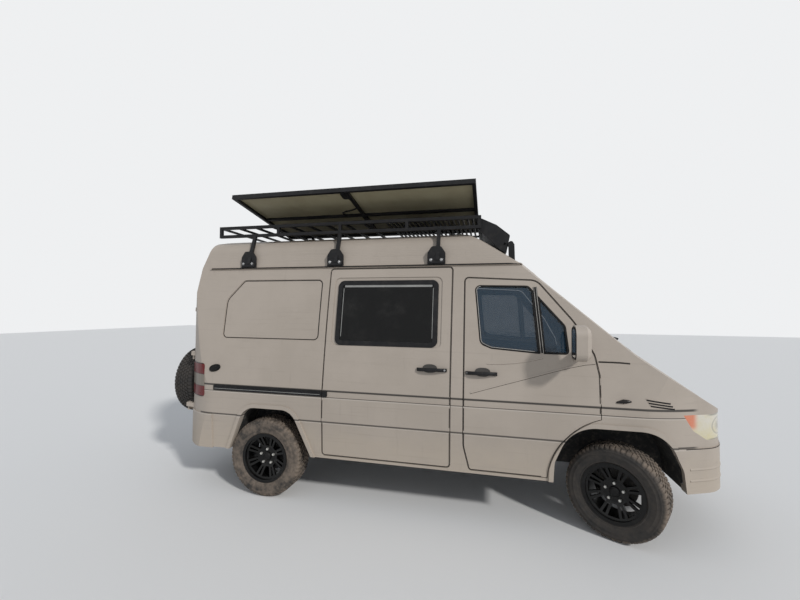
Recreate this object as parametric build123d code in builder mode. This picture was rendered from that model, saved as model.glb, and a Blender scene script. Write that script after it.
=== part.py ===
from build123d import *
from math import atan2, cos, radians, sin
import os

# High-roof camper van, in millimetres: X forward, Y left, Z up, ground at z = 0.
# The origin is on the ground under the middle of the van.
os.makedirs("parts", exist_ok=True)

# Main sizes
front_axle_x = 1653
wheelbase = 3000
rear_axle_x = front_axle_x - wheelbase
body_half_width = 966.5
sill_bottom = 405
gutter_z = 2115
gutter_half = 790
roof_top = 2480
wall = 50
gap = 6
seat_gap = 0.3
flange_thick = 16
flange_wide = 12
glass_thick = 5

# Stations along the body, each measured from the front axle
rear_face_x = front_axle_x - 3930
slide_rear_x = front_axle_x - 2434
slide_front_x = front_axle_x - 1313
cab_rear_x = front_axle_x - 1203
cab_front_x = front_axle_x - 187
roof_front_x = front_axle_x - 1420
header_x = front_axle_x - 640
screen_base_x = front_axle_x + 215
bonnet_end_x = front_axle_x + 760
nose_x = front_axle_x + 870
bow_x = front_axle_x - 2900
bow_angle = 35

# Heights
header_z = 2125
screen_base_z = 1375
bonnet_end_z = 985
nose_z = 800
band_low = 942
band_high = 998
band_depth = 6
crease_z = 726
lower_step = 9
door_bottom = 433
door_top = 2088
bumper_top = 720

# Roof cap and waist
roof_apex_z = 2559
crown_radius = 2317
waist_half = 893
waist_z = 1600
shoulder_half = 600
shoulder_z = 2398
cap_wall_half = 752
cap_wall_z = 2290

# Wheels and tyres
tyre_radius = 350
tyre_width = 234
rim_radius = 206
track_half = 838
kingpin_half = 745
steer_rest = 30


def outline(plane, corners, inset=0):
    # A closed outline from corners (across, up, radius), shrunk by inset.
    with BuildSketch(plane) as shape:
        with BuildLine():
            Polyline(*[(across, up) for across, up, radius in corners], close=True)
        make_face()
        if inset:
            offset(amount=-inset, kind=Kind.INTERSECTION)
        for across, up, radius in corners:
            if radius > max(inset, 0):
                fillet(shape.vertices().sort_by_distance((across, up))[0], radius - inset)
    return shape.sketch


def both_sides(half):
    # Repeats the corners of a left half on the right, in order round the outline.
    return half + [(-across, up, radius) for across, up, radius in reversed(half) if across]


def bowed(sketch):
    # Turns a side profile about the upright bow axis, which curves glass, bonnet and nose in plan.
    with BuildPart() as turned:
        revolve(sketch, axis=Axis((bow_x, 0, 0), (0, 0, 1)), revolution_arc=bow_angle)
        mirror(about=Plane.XZ)
    return turned.part


def side_corners():
    # The whole van seen from its right side: (x, z, radius).
    return [
        (rear_face_x, sill_bottom, 0),
        (nose_x - 25, sill_bottom, 0),
        (nose_x, sill_bottom + 45, 0),
        (nose_x, bumper_top - 30, 0),
        (nose_x - 35, nose_z, 0),
        (bonnet_end_x + 45, bonnet_end_z - 30, 60),
        (bonnet_end_x - 55, bonnet_end_z + 38, 120),
        (screen_base_x, screen_base_z, 0),
        (header_x, header_z, 0),
        (roof_front_x + 250, roof_top, 1000),
        (rear_face_x + 205, roof_top, 170),
        (rear_face_x + 95, gutter_z, 0),
        (rear_face_x, 1000, 0),
    ]


def section_corners(fine):
    # The body seen from the front: (y, z, radius). The finished skin has a band and a lower step.
    slope = (roof_apex_z - shoulder_z) / shoulder_half
    lean = (gutter_half - cap_wall_half) / (cap_wall_z - gutter_z)
    corner_y = (gutter_half - lean * (roof_apex_z - gutter_z)) / (1 - lean * slope)
    half = [(0, roof_apex_z, crown_radius), (corner_y, roof_apex_z - slope * corner_y, 140)]
    half += [(gutter_half, gutter_z, 0), (waist_half, waist_z, 11000)]
    if fine:
        half += [
            (body_half_width - 2, band_high, 0),
            (body_half_width - band_depth, band_high - 6, 0),
            (body_half_width - band_depth, band_low + 4, 0),
            (body_half_width, band_low, 0),
            (body_half_width, crease_z, 0),
            (body_half_width - lower_step, crease_z - 12, 0),
        ]
    else:
        half += [(body_half_width - 2, band_high, 0), (body_half_width - 2, crease_z, 0)]
    half += [(body_half_width - 27, sill_bottom, 0)]
    return both_sides(half)


def plan_corners():
    # The body seen from above: (y, x, radius), with curved rear corners and a rounded nose.
    return both_sides([
        (0, front_axle_x + 970, 1300),
        (780, front_axle_x + 665, 300),
        (body_half_width, front_axle_x + 230, 1000),
        (body_half_width, rear_face_x + 230, 420),
        (775, rear_face_x, 200),
    ])


def envelope(inset, fine=True):
    # The whole body form, shrunk by inset: profile, section and plan have to agree.
    profile = outline(Plane.XZ, side_corners(), inset)
    across = outline(Plane.YZ, section_corners(fine), inset)
    above = outline(Plane((0, 0, 0), x_dir=(0, 1, 0), z_dir=(0, 0, -1)), plan_corners(), inset)
    with BuildSketch(Plane.XZ) as rear_half:
        add(profile)
        with Locations((roof_front_x - 50, 0)):
            Rectangle(6000, 6000, align=(Align.MAX, Align.CENTER), mode=Mode.INTERSECT)
    with BuildSketch(Plane.XZ) as front_half:
        add(profile)
        with Locations((bow_x, 0)):
            Rectangle(6000, 6000, align=(Align.MIN, Align.CENTER), mode=Mode.INTERSECT)
    front = bowed(front_half.sketch)
    with BuildPart() as form:
        extrude(rear_half.sketch, amount=1100, both=True)
        add(front)
        extrude(across, amount=4000, both=True, mode=Mode.INTERSECT)
        extrude(above, amount=4000, both=True, mode=Mode.INTERSECT)
    return form.part


def slab(plane, corners, low, high, grow=0):
    # A straight block on an outline, from low to high along the plane's world axis.
    if plane == Plane.XZ:
        base = Plane.XZ.offset(-high)
    elif plane == Plane.YZ:
        base = Plane.YZ.offset(low)
    else:
        base = Plane.XY.offset(low)
    with BuildPart() as block:
        extrude(outline(base, corners, -grow), amount=high - low)
    return block.part


def brick(low, high):
    # A plain box between two corners, used as a zone.
    corners = [(low[0], low[1], 0), (high[0], low[1], 0), (high[0], high[1], 0), (low[0], high[1], 0)]
    return slab(Plane.XY, corners, low[2], high[2])


def keep(form, *zones):
    # What the form and all the zones share.
    with BuildPart() as common:
        add(form)
        for zone in zones:
            add(zone, mode=Mode.INTERSECT)
    return common.part


def less(form, *tools):
    # The form with the tools cut away.
    with BuildPart() as rest:
        add(form)
        for tool in tools:
            add(tool, mode=Mode.SUBTRACT)
    return rest.part


def save(part, name):
    part.label = name
    export_step(part, "parts/" + name + ".step")
    print(name, len(part.solids()), "solids", round(part.volume / 1e6, 2), "litres")


def at_axle(corners, axle_x=front_axle_x):
    # Outline corners given from an axle, moved to their place along the van.
    return [(axle_x + across, up, radius) for across, up, radius in corners]


def mirrored(part):
    return mirror(part, about=Plane.XZ)


# Side openings and panels, x from the front axle, z, corner radius
cab_door_corners = at_axle([
    (-187, 909, 0),
    (-531, 795, 540),
    (-566, door_bottom, 0),
    (-1156, door_bottom, 25),
    (-1203, 620, 200),
    (-1203, 1996, 35),
    (-625, 1965, 110),
    (-354, 1631, 400),
    (-215, 1380, 150),
    (-187, 1230, 0),
])
cab_glass_corners = at_axle([
    (-392, 1376, 30),
    (-620, 1376, 0),
    (-985, 1404, 60),
    (-1076, 1440, 60),
    (-1122, 1929, 45),
    (-690, 1922, 60),
    (-415, 1600, 60),
])
glass_bar_corners = at_axle([(-603, 1300, 0), (-577, 1300, 0), (-637, 2000, 0), (-663, 2000, 0)])
slide_door_corners = [
    (slide_rear_x, door_bottom, 30),
    (slide_front_x, door_bottom, 30),
    (slide_front_x + 7, door_top, 30),
    (slide_rear_x + 4, door_top, 30),
]
camper_window_corners = at_axle([
    (-2325, 1415, 40),
    (-1440, 1415, 40),
    (-1440, 1960, 40),
    (-2325, 1960, 40),
])
window_stamp_corners = at_axle([
    (-2378, 1395, 50),
    (-1392, 1395, 50),
    (-1392, 2004, 50),
    (-2378, 2004, 50),
])
quarter_stamp_corners = at_axle([
    (-3500, 1427, 50),
    (-2500, 1427, 50),
    (-2500, 1992, 50),
    (-3330, 1992, 60),
    (-3500, 1800, 120),
])
front_arch_corners = at_axle([
    (-525, 300, 0),
    (-512, 560, 110),
    (-395, 842, 270),
    (245, 842, 270),
    (376, 560, 110),
    (408, 300, 0),
])
rear_arch_corners = at_axle([
    (-3410, 300, 0),
    (-3200, 806, 160),
    (-2722, 806, 160),
    (-2490, 300, 0),
])
stamp_depth = 7
flare_proud = 14
flare_width = 34
liner = 12
front_liner_in = 500
rear_liner_in = 660
liner_out = 898

# The hollow body form
outer = envelope(0)
inner = envelope(wall, fine=False)
floor_top = 612
pedestal_top = 860
floor_thick = 22
well_corners = plan_corners()
with BuildPart() as well_block:
    well_face = outline(Plane((0, 0, 300), x_dir=(0, 1, 0), z_dir=(0, 0, -1)), well_corners, wall + 24)
    extrude(well_face, amount=-160)
shell = less(outer, inner, well_block.part)
pressed = less(outer, envelope(stamp_depth))
print("shell", round(shell.volume / 1e6), "litres", len(shell.faces()), "faces")

far = 4000
upper_half = brick((-far, -far, gutter_z), (far, far, 3000))

bulkhead_x = front_axle_x + 60
bulkhead_top = 1300
panel_core = envelope(flange_thick, fine=False)


def rebated(panel, core_zone):
    # Steps the inner part of a door or lid back from its outer edge, as a pressed flange leaves it.
    return less(panel, less(panel_core, core_zone))



# Zones of the nose, cut square to the bowed profile
bonnet_rear = front_axle_x + 240
cowl_rear = front_axle_x + 85
screen_slope = atan2(header_z - screen_base_z, screen_base_x - header_x)


def bowed_zone(points):
    # A zone turned about the bow axis from side-view points (x, z).
    return bowed(outline(Plane.XZ, [(x, z, 0) for x, z in points]))


bonnet_front_x = nose_x - 62
bonnet_front_z = 968
bonnet_reach = bowed_zone([
    (bonnet_rear, 1080),
    (bonnet_rear, 1500),
    (nose_x + 60, 1500),
    (nose_x + 60, bonnet_front_z),
    (bonnet_front_x - 110, bonnet_front_z),
])
bonnet_reach_wide = bowed_zone([
    (bonnet_rear - gap, 1080),
    (bonnet_rear - gap, 1500),
    (nose_x + 60, 1500),
    (nose_x + 60, bonnet_front_z - gap),
    (bonnet_front_x - 120, bonnet_front_z - gap),
])
bonnet_edges = [
    (bonnet_rear - 200, -790, 0),
    (bonnet_rear - 200, 790, 0),
    (front_axle_x + 470, 700, 150),
    (nose_x + 80, 500, 0),
    (nose_x + 80, -500, 0),
    (front_axle_x + 470, -700, 150),
]
bonnet_zone = keep(bonnet_reach, slab(Plane.XY, bonnet_edges, 700, 1700))
bonnet_cut = keep(bonnet_reach_wide, slab(Plane.XY, bonnet_edges, 700, 1700, gap))
cowl_zone = bowed_zone([
    (cowl_rear, bulkhead_top - 12),
    (cowl_rear, 1700),
    (bonnet_rear - gap, 1700),
    (bonnet_rear - gap, bulkhead_top - 12),
])
cowl_zone = keep(cowl_zone, brick((0, -785, 1200), (4000, 785, 1700)))

# Windscreen: an outline square to the glass
screen_mid = Vector(front_axle_x - 225, 0, 1760)
screen_plane = Plane(
    screen_mid,
    x_dir=(0, 1, 0),
    z_dir=(sin(screen_slope), 0, cos(screen_slope)),
)
screen_corners = [(-790, -480, 60), (790, -480, 60), (668, 470, 70), (-668, 470, 70)]
with BuildPart() as screen_block:
    extrude(outline(screen_plane, screen_corners), amount=300, both=True)
with BuildPart() as screen_zone_block:
    add(screen_block.part)
    add(brick((front_axle_x - 900, -900, 1350), (4000, 900, 2300)), mode=Mode.INTERSECT)
screen_zone = screen_zone_block.part

# Lamps and grille on the nose
lamp_corners = at_axle([
    (380, 962, 12),
    (300, 1100, 0),
    (1000, 1100, 0),
    (1000, 776, 0),
    (560, 776, 40),
    (452, 848, 40),
])
lamp_band = less(
    slab(Plane.XZ, lamp_corners, -1200, 1200),
    brick((0, -505, 0), (4000, 505, 3000)),
    brick((0, -1200, bonnet_front_z - gap), (4000, 1200, 3000)),
)
grille_hole = brick((front_axle_x + 500, -480, 775), (4000, 480, 948))

# Front of the van: wings, centre panel, bumper
front_zone = brick((front_axle_x - 569, -far, 0), (far, far, 1338))
door_prism = slab(Plane.XZ, cab_door_corners, -1200, -450)
door_prism_wide = slab(Plane.XZ, cab_door_corners, -1200, -450, gap)
front_arch = slab(Plane.XZ, front_arch_corners, -1200, -front_liner_in)
front_arch_wide = slab(Plane.XZ, front_arch_corners, -1200, -front_liner_in + liner, liner)
rear_arch = slab(Plane.XZ, rear_arch_corners, -1200, -rear_liner_in)
rear_arch_wide = slab(Plane.XZ, rear_arch_corners, -1200, -rear_liner_in + liner, liner)
arch_cuts = [front_arch, mirrored(front_arch), rear_arch, mirrored(rear_arch)]
bumper_zone = brick((front_axle_x + 330, -far, 0), (far, far, bumper_top))
bumper_skin = less(envelope(-8, False), envelope(36, False), well_block.part)
front_bumper = keep(bumper_skin, bumper_zone)
front_bumper = less(front_bumper, front_arch, mirrored(front_arch))
intake_half = 430
intake_corners = [
    (-intake_half, 470, 30),
    (intake_half, 470, 30),
    (intake_half, 590, 30),
    (-intake_half, 590, 30),
]
intake = slab(Plane.YZ, intake_corners, 0, far)
front_bumper = less(front_bumper, intake)
save(front_bumper, "front_bumper")

nose_shell = keep(shell, front_zone)
nose_shell = less(
    nose_shell,
    bumper_zone,
    bonnet_cut,
    lamp_band,
    cowl_zone,
    screen_zone,
    door_prism_wide,
    mirrored(door_prism_wide),
    front_arch,
    mirrored(front_arch),
)
with BuildPart() as flare_front_block:
    extrude(outline(Plane.XZ.offset(450), front_arch_corners, -flare_width), amount=750)
    extrude(outline(Plane.XZ.offset(450), front_arch_corners), amount=750, mode=Mode.SUBTRACT)
with BuildPart() as flare_rear_block:
    extrude(outline(Plane.XZ.offset(450), rear_arch_corners, -flare_width), amount=750)
    extrude(outline(Plane.XZ.offset(450), rear_arch_corners), amount=750, mode=Mode.SUBTRACT)
proud_skin = less(envelope(-flare_proud, False), outer)
above_sill = brick((-far, -far, sill_bottom), (far, far, far))
flare_front = less(keep(proud_skin, flare_front_block.part, above_sill), bumper_zone, door_prism_wide)
flare_rear = keep(proud_skin, flare_rear_block.part, above_sill)
wing_zone = brick((0, -far, 0), (far, -505, far))
door_lean = (body_half_width - 2 - waist_half) / (waist_z - band_high)
with BuildPart() as front_wing_right:
    add(keep(nose_shell, wing_zone))
    add(flare_front)
    for pin_z in (1020, 1160):
        pin_y = gap / 2 - (body_half_width - 2 - door_lean * (pin_z - band_high))
        pin_base = Plane((cab_front_x + gap / 2, pin_y, pin_z), x_dir=(1, 0, 0), z_dir=(0, door_lean, 1))
        with Locations(pin_base):
            Cylinder(gap / 2 - seat_gap, 50, align=(Align.CENTER, Align.CENTER, Align.MIN))
            Box(gap / 2 + 1, 3, 50, align=(Align.MIN, Align.CENTER, Align.MIN))
save(front_wing_right.part, "front_wing_right")
save(mirrored(front_wing_right.part), "front_wing_left")
nose_panel = keep(nose_shell, brick((0, -505, 0), (far, 505, far)))
with BuildPart() as nose_with_buffers:
    add(less(nose_panel, grille_hole))
    with Locations((nose_x - 102, -300, bonnet_front_z - gap), (nose_x - 102, 300, bonnet_front_z - gap)):
        Cylinder(8, gap - seat_gap, align=(Align.CENTER, Align.CENTER, Align.MIN))
save(nose_with_buffers.part, "nose_panel")
bonnet_core = slab(Plane.XY, bonnet_edges, 700, 1700, -2 * flange_wide)
bonnet = rebated(keep(shell, bonnet_zone), bonnet_core)
save(bonnet, "bonnet")
cowl_box = bowed_zone([
    (bulkhead_x, bulkhead_top),
    (cowl_rear + 42, bulkhead_top),
    (cowl_rear + 42, bulkhead_top + 110),
    (bulkhead_x, bulkhead_top + 110),
])
with BuildPart() as cowl:
    add(less(keep(shell, cowl_zone), screen_zone))
    add(keep(cowl_box, brick((0, -700, 0), (far, 700, far))))
save(cowl.part, "cowl")
headlamps = keep(less(outer, envelope(60, False)), lamp_band)
save(headlamps, "headlamps")

# Grille: bars that follow the bow of the nose, inside a frame in the hole
grille_skin = less(envelope(2, False), envelope(26, False))
grille_gap = keep(grille_skin, grille_hole)
grille_bars = [brick((0, -460, 793 + 32 * step), (far, 460, 811 + 32 * step)) for step in range(5)]
with BuildPart() as grille:
    add(grille_gap)
    add(brick((0, -460, 793), (far, 460, 930)), mode=Mode.SUBTRACT)
    for bar in grille_bars:
        add(keep(grille_gap, bar))
    for post_y in (-230, 0, 230):
        add(keep(grille_gap, brick((0, post_y - 6, 780), (far, post_y + 6, 940))))
    bar_half = intake_half - 0.6
    for intake_z in (503, 530, 557):
        add(keep(grille_skin, brick((0, -bar_half, intake_z - 4), (far, bar_half, intake_z + 4))))
save(grille.part, "grille")

# Rear doors, hinged at the corners
rear_door_bottom = 618
rear_door_top = 2078
rear_door_corners = [
    (-gap / 2, rear_door_bottom, 0),
    (-gap / 2, rear_door_top, 0),
    (-682, rear_door_top, 70),
    (-770, 1150, 400),
    (-770, rear_door_bottom, 25),
]
rear_glass_corners = [(-110, 1330, 50), (-110, 1900, 50), (-600, 1900, 60), (-655, 1330, 60)]
rear_low = rear_face_x - 60
rear_high = rear_face_x + 330
rear_prism = slab(Plane.YZ, rear_door_corners, rear_low, rear_high)
rear_opening_corners = [(0, up, radius) if across == -gap / 2 else (across, up, radius)
                        for across, up, radius in rear_door_corners]
rear_prism_wide = slab(Plane.YZ, rear_opening_corners, rear_low, rear_high, gap)
rear_window = slab(Plane.YZ, rear_glass_corners, rear_low, rear_high)
rear_stamp = slab(Plane.YZ, [(-90, 760, 50), (-90, 1230, 50), (-650, 1230, 50), (-665, 760, 50)], rear_low, rear_high)

# Rear door hinges: (height, leaf length on the door, how far the face stands in front of the axis)
rear_lean = Vector(95, 0, gutter_z - 1000).normalized()
rear_pin_x = rear_face_x - 6
rear_pin_y = 786
rear_pin = 6
hinge_rows = ((690, 61, 27), (1200, 61, 0), (1640, 116, 0))
with BuildPart() as door_leaves:
    for low, length, deep in hinge_rows:
        axis_x = rear_pin_x + (low - 1000) * rear_lean.X / rear_lean.Z
        with Locations(Plane((axis_x, -rear_pin_y, low), x_dir=(0, 1, 0), z_dir=rear_lean)):
            with Locations((0, -5, 0)):
                Box(length, 10, 40, align=(Align.MIN, Align.MIN, Align.MIN))
            with Locations((length - 25, -20 - deep, 0)):
                Box(25, 25 + deep, 40, align=(Align.MIN, Align.MIN, Align.MIN))
            Cylinder(11, 40, align=(Align.CENTER, Align.CENTER, Align.MIN))
            Cylinder(rear_pin + seat_gap, 40, align=(Align.CENTER, Align.CENTER, Align.MIN), mode=Mode.SUBTRACT)
with BuildPart() as body_leaves:
    for low, length, deep in hinge_rows:
        axis_x = rear_pin_x + (low - 1000) * rear_lean.X / rear_lean.Z
        with Locations(Plane((axis_x, -rear_pin_y, low), x_dir=(0, 1, 0), z_dir=rear_lean)):
            with Locations((0, 5, 42)):
                Box(36, 80 + deep, 40, align=(Align.MAX, Align.MAX, Align.MIN))
            with Locations((0, 0, 42)):
                Cylinder(11, 40, align=(Align.CENTER, Align.CENTER, Align.MIN))
            Cylinder(rear_pin, 82, align=(Align.CENTER, Align.CENTER, Align.MIN))
body_leaves = less(body_leaves.part, inner)
with BuildPart() as leaf_rooms:
    for low, length, deep in hinge_rows:
        axis_x = rear_pin_x + (low - 1000) * rear_lean.X / rear_lean.Z
        with Locations(Plane((axis_x, -rear_pin_y, low - 3), z_dir=rear_lean)):
            Cylinder(15, 46, align=(Align.CENTER, Align.CENTER, Align.MIN))

# Body sides, roof and doors
body_zone = less(brick((-far, -far, 0), (far, 0, gutter_z)), front_zone)
header_zone = brick((header_x - 300, -600, 2000), (far, 600, gutter_z))
slide_prism = slab(Plane.XZ, slide_door_corners, -1200, -450)
slide_prism_wide = slab(Plane.XZ, slide_door_corners, -1200, -450, gap)
window_prism = slab(Plane.XZ, camper_window_corners, -1200, -450)
window_stamp = keep(pressed, slab(Plane.XZ, window_stamp_corners, -1200, -450))
quarter_stamp = keep(pressed, slab(Plane.XZ, quarter_stamp_corners, -1200, -450))
rear_bumper_zone = brick((-far, -far, 0), (rear_face_x + 380, far, bumper_top))

lamp_zone = slab(Plane.XZ, [
    (rear_face_x - 50, 872, 0),
    (rear_face_x + 287, 872, 30),
    (rear_face_x + 275, 1188, 30),
    (rear_face_x - 50, 1188, 0),
], -1200, -784)
gutter_zone = brick((rear_face_x + 200, -far, gutter_z - 12), (header_x - 90, 0, gutter_z))
side_shell = keep(shell, body_zone)
side_base = less(
    side_shell,
    header_zone,
    screen_zone,
    cowl_zone,
    bonnet_cut,
    rear_arch,
    rear_prism_wide,
    door_prism_wide,
    rear_bumper_zone,
    quarter_stamp,
    lamp_zone,
    leaf_rooms.part,
)
gutter = keep(proud_skin, gutter_zone)
side_right = less(side_base, slide_prism_wide)
with BuildPart() as body_side_right:
    add(side_right)
    add(less(flare_rear, slide_prism_wide, rear_bumper_zone))
    add(gutter)
    add(body_leaves)
save(body_side_right.part, "body_side_right")
with BuildPart() as body_side_left:
    add(mirrored(less(side_base, window_stamp, window_prism)))
    add(mirrored(less(flare_rear, rear_bumper_zone)))
    add(mirrored(gutter))
    add(mirrored(body_leaves))
save(body_side_left.part, "body_side_left")
with BuildPart() as roof:
    add(keep(shell, upper_half))
    add(keep(shell, header_zone))
    add(screen_zone, mode=Mode.SUBTRACT)
save(roof.part, "roof")
sliding_door = less(keep(shell, slide_prism), window_stamp, window_prism)
save(sliding_door, "sliding_door")

glass_face = envelope(8, False)
glass_skin = less(glass_face, envelope(8 + glass_thick, False))
save(keep(glass_skin, screen_zone), "windscreen")
cab_window = slab(Plane.XZ, cab_glass_corners, -1200, -450)
glass_bar = slab(Plane.XZ, glass_bar_corners, -1200, -450)
door_core = slab(Plane.XZ, cab_door_corners, -1200, -450, -flange_wide)
with BuildPart() as cab_door:
    add(less(rebated(keep(shell, door_prism), door_core), less(cab_window, glass_bar)))
save(cab_door.part, "cab_door_right")
save(mirrored(cab_door.part), "cab_door_left")
cab_glass = less(keep(glass_skin, cab_window), glass_bar)
save(cab_glass, "cab_glass_right")
save(mirrored(cab_glass), "cab_glass_left")
rear_core = slab(Plane.YZ, rear_door_corners, rear_low, rear_high, -flange_wide)
rear_door = less(rebated(keep(shell, rear_prism), rear_core), rear_window, keep(pressed, rear_stamp))
with BuildPart() as rear_door_right:
    add(rear_door)
    add(door_leaves.part)
save(rear_door_right.part, "rear_door_right")
save(mirrored(rear_door_right.part), "rear_door_left")
rear_glass = keep(glass_skin, rear_window)
save(rear_glass, "rear_glass_right")
save(mirrored(rear_glass), "rear_glass_left")

# Camper windows, one in the sliding door and one opposite
window_rim = 24
frame_outline = slab(Plane.XZ, camper_window_corners, -1200, -450, 16)
pane_outline = slab(Plane.XZ, camper_window_corners, -1200, -450, -window_rim)
with BuildPart() as window_frame:
    add(keep(less(envelope(-4, False), envelope(stamp_depth, False)), frame_outline))
    add(keep(less(outer, envelope(wall - 6, False)), window_prism))
    add(pane_outline, mode=Mode.SUBTRACT)
with BuildPart() as window_frames:
    add(window_frame.part)
    add(mirrored(window_frame.part))
save(window_frames.part, "window_frames")
pane = keep(less(envelope(2, False), envelope(10, False)), pane_outline)
with BuildPart() as window_panes:
    add(pane)
    add(mirrored(pane))
save(window_panes.part, "window_panes")

# Rear bumper with its centre step
rear_skin = less(envelope(-8, False), envelope(36, False), well_block.part)
with BuildPart() as rear_bumper:
    add(keep(rear_skin, rear_bumper_zone))
    add(brick((-far, -778, rear_door_bottom - 8), (rear_face_x + 120, 778, far)), mode=Mode.SUBTRACT)
    add(brick((rear_face_x - 42, -700, 425), (rear_face_x + 20, 700, 575)))
    add(rear_arch, mode=Mode.SUBTRACT)
    add(mirrored(rear_arch), mode=Mode.SUBTRACT)
save(rear_bumper.part, "rear_bumper")
lamp = keep(less(envelope(-4, False), envelope(42, False)), lamp_zone)
with BuildPart() as tail_lamps:
    add(lamp)
    add(mirrored(lamp))
save(tail_lamps.part, "tail_lamps")
rail_zone = brick((front_axle_x - 3535, -far, band_low + 6), (slide_rear_x + gap, 0, band_high - 8))
rail_stop = slab(Plane.XZ, slide_door_corners, -1200, -450, seat_gap)
slide_rail = less(keep(less(envelope(-6, False), outer), rail_zone), lamp_zone, rail_stop)
save(slide_rail, "slide_rail")

# Floor, rails and bulkhead
rail_in = 390
rail_out = 470
rail_low = 480
floor_low = floor_top - floor_thick
door_strip = brick((slide_rear_x - 20, -far, 0), (cab_front_x + 30, -883, far))
with BuildPart() as floor_frame:
    add(keep(inner, brick((-far, -far, floor_low), (bulkhead_x, far, floor_top))))
    add(door_strip, mode=Mode.SUBTRACT)
    add(mirrored(door_strip), mode=Mode.SUBTRACT)
    add(brick((-far, -790, 0), (rear_face_x + 62, 790, far)), mode=Mode.SUBTRACT)
    add(brick((bulkhead_x, -860, floor_low), (bulkhead_x + 35, 860, bulkhead_top)))
    for side in (-1, 1):
        ends = sorted((side * rail_in, side * rail_out))
        add(brick((rear_face_x + 36, ends[0], rail_low), (front_axle_x + 690, ends[1], floor_low)))
        pedestal = sorted((side * 220, side * 680))
        add(brick((front_axle_x - 1010, pedestal[0], floor_top), (front_axle_x - 600, pedestal[1], pedestal_top)))
    for station in (650, -700, -1900, -3500):
        beam_x = front_axle_x + station
        add(brick((beam_x, -rail_in, rail_low + 40), (beam_x + 60, rail_in, floor_low)))
    add(front_arch_wide, mode=Mode.SUBTRACT)
    add(mirrored(front_arch_wide), mode=Mode.SUBTRACT)
    add(rear_arch_wide, mode=Mode.SUBTRACT)
    add(mirrored(rear_arch_wide), mode=Mode.SUBTRACT)
save(floor_frame.part, "floor_frame")
above_skirt = brick((-far, -liner_out, sill_bottom), (far, 0, far))
arm_hole = brick((front_axle_x - 70, -far, 0), (front_axle_x + 70, 0, 570))
front_housing = less(keep(less(front_arch_wide, front_arch), above_skirt), shell, arm_hole, bumper_skin)
rear_housing = less(keep(less(rear_arch_wide, rear_arch), above_skirt), shell, rear_skin)
with BuildPart() as wheel_housings:
    for housing in (front_housing, rear_housing):
        add(housing)
        add(mirrored(housing))
save(wheel_housings.part, "wheel_housings")

# Wheels: tyre, rim, knuckle and axles. A wheel is made at the origin with its face towards -Y.
rim_half = 109
bead = rim_half - 8
tyre_half = tyre_width / 2
hub_face = 49
hub_seat = 22
bore = 40.3
axle_z = tyre_radius
tyre_corners = [(-bead + 9, rim_radius, 0), (-tyre_half, 290, 0), (-tyre_half + 23, tyre_radius, 0)]
tyre_corners = tyre_corners + [(-across, up, radius) for across, up, radius in reversed(tyre_corners)]
with BuildPart() as tyre:
    revolve(outline(Plane.YZ, tyre_corners), axis=Axis.Y)
rim_corners = [
    (-rim_half, rim_radius - 10, 0),
    (-rim_half, rim_radius + 16, 0),
    (-bead, rim_radius + 16, 0),
    (-bead, rim_radius - seat_gap, 0),
    (bead, rim_radius - seat_gap, 0),
    (bead, rim_radius + 16, 0),
    (rim_half, rim_radius + 16, 0),
    (rim_half, rim_radius - 10, 0),
]
disc_corners = [
    (-hub_face, bore, 0),
    (-hub_seat, bore, 0),
    (-hub_seat, 76, 0),
    (-56, rim_radius - 8, 0),
    (-84, rim_radius - 8, 0),
    (-hub_face, 80, 0),
]
spoke_pairs = 8
window_shape = outline(Plane.XY, [(-16, 94, 0), (16, 94, 0), (41, 180, 0), (-41, 180, 0)])
slot_shape = outline(Plane.XY, [(-5, 104, 0), (5, 104, 0), (11, 180, 0), (-11, 180, 0)])
with BuildSketch(Plane.XZ) as rim_cuts:
    with PolarLocations(0, spoke_pairs):
        add(window_shape)
    with PolarLocations(0, spoke_pairs, start_angle=180 / spoke_pairs):
        add(slot_shape)
with BuildPart() as rim:
    revolve(outline(Plane.YZ, rim_corners), axis=Axis.Y)
    revolve(outline(Plane.YZ, disc_corners), axis=Axis.Y)
    extrude(rim_cuts.sketch, amount=200, both=True, mode=Mode.SUBTRACT)
drum_in = 745
hub_seat_y = track_half + hub_seat


def steered(part, side):
    # Turns a piece of a front wheel about its kingpin to the angle it stands at.
    kingpin = Axis((front_axle_x, side * kingpin_half, 0), (0, 0, 1))
    return part.rotate(kingpin, -steer_rest)


def placed(part, axle_x, side):
    # Puts a right-hand wheel piece at its axle, or turns it round for the left.
    turned = part if side < 0 else part.rotate(Axis.Z, 180)
    return turned.moved(Location((axle_x, side * track_half, axle_z)))


def flange(side):
    # Wheel flange and pilot that the rim seats on.
    with BuildPart() as hub:
        with Locations(Plane((0, 0, axle_z), x_dir=(1, 0, 0), z_dir=(0, side, 0))):
            seat = hub_seat_y - seat_gap
            for radius, start, end in ((75, 800, seat), (bore - seat_gap, seat - 5, hub_seat_y + 14)):
                with Locations((0, 0, start)):
                    Cylinder(radius, end - start, align=(Align.CENTER, Align.CENTER, Align.MIN))
    return hub.part


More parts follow.
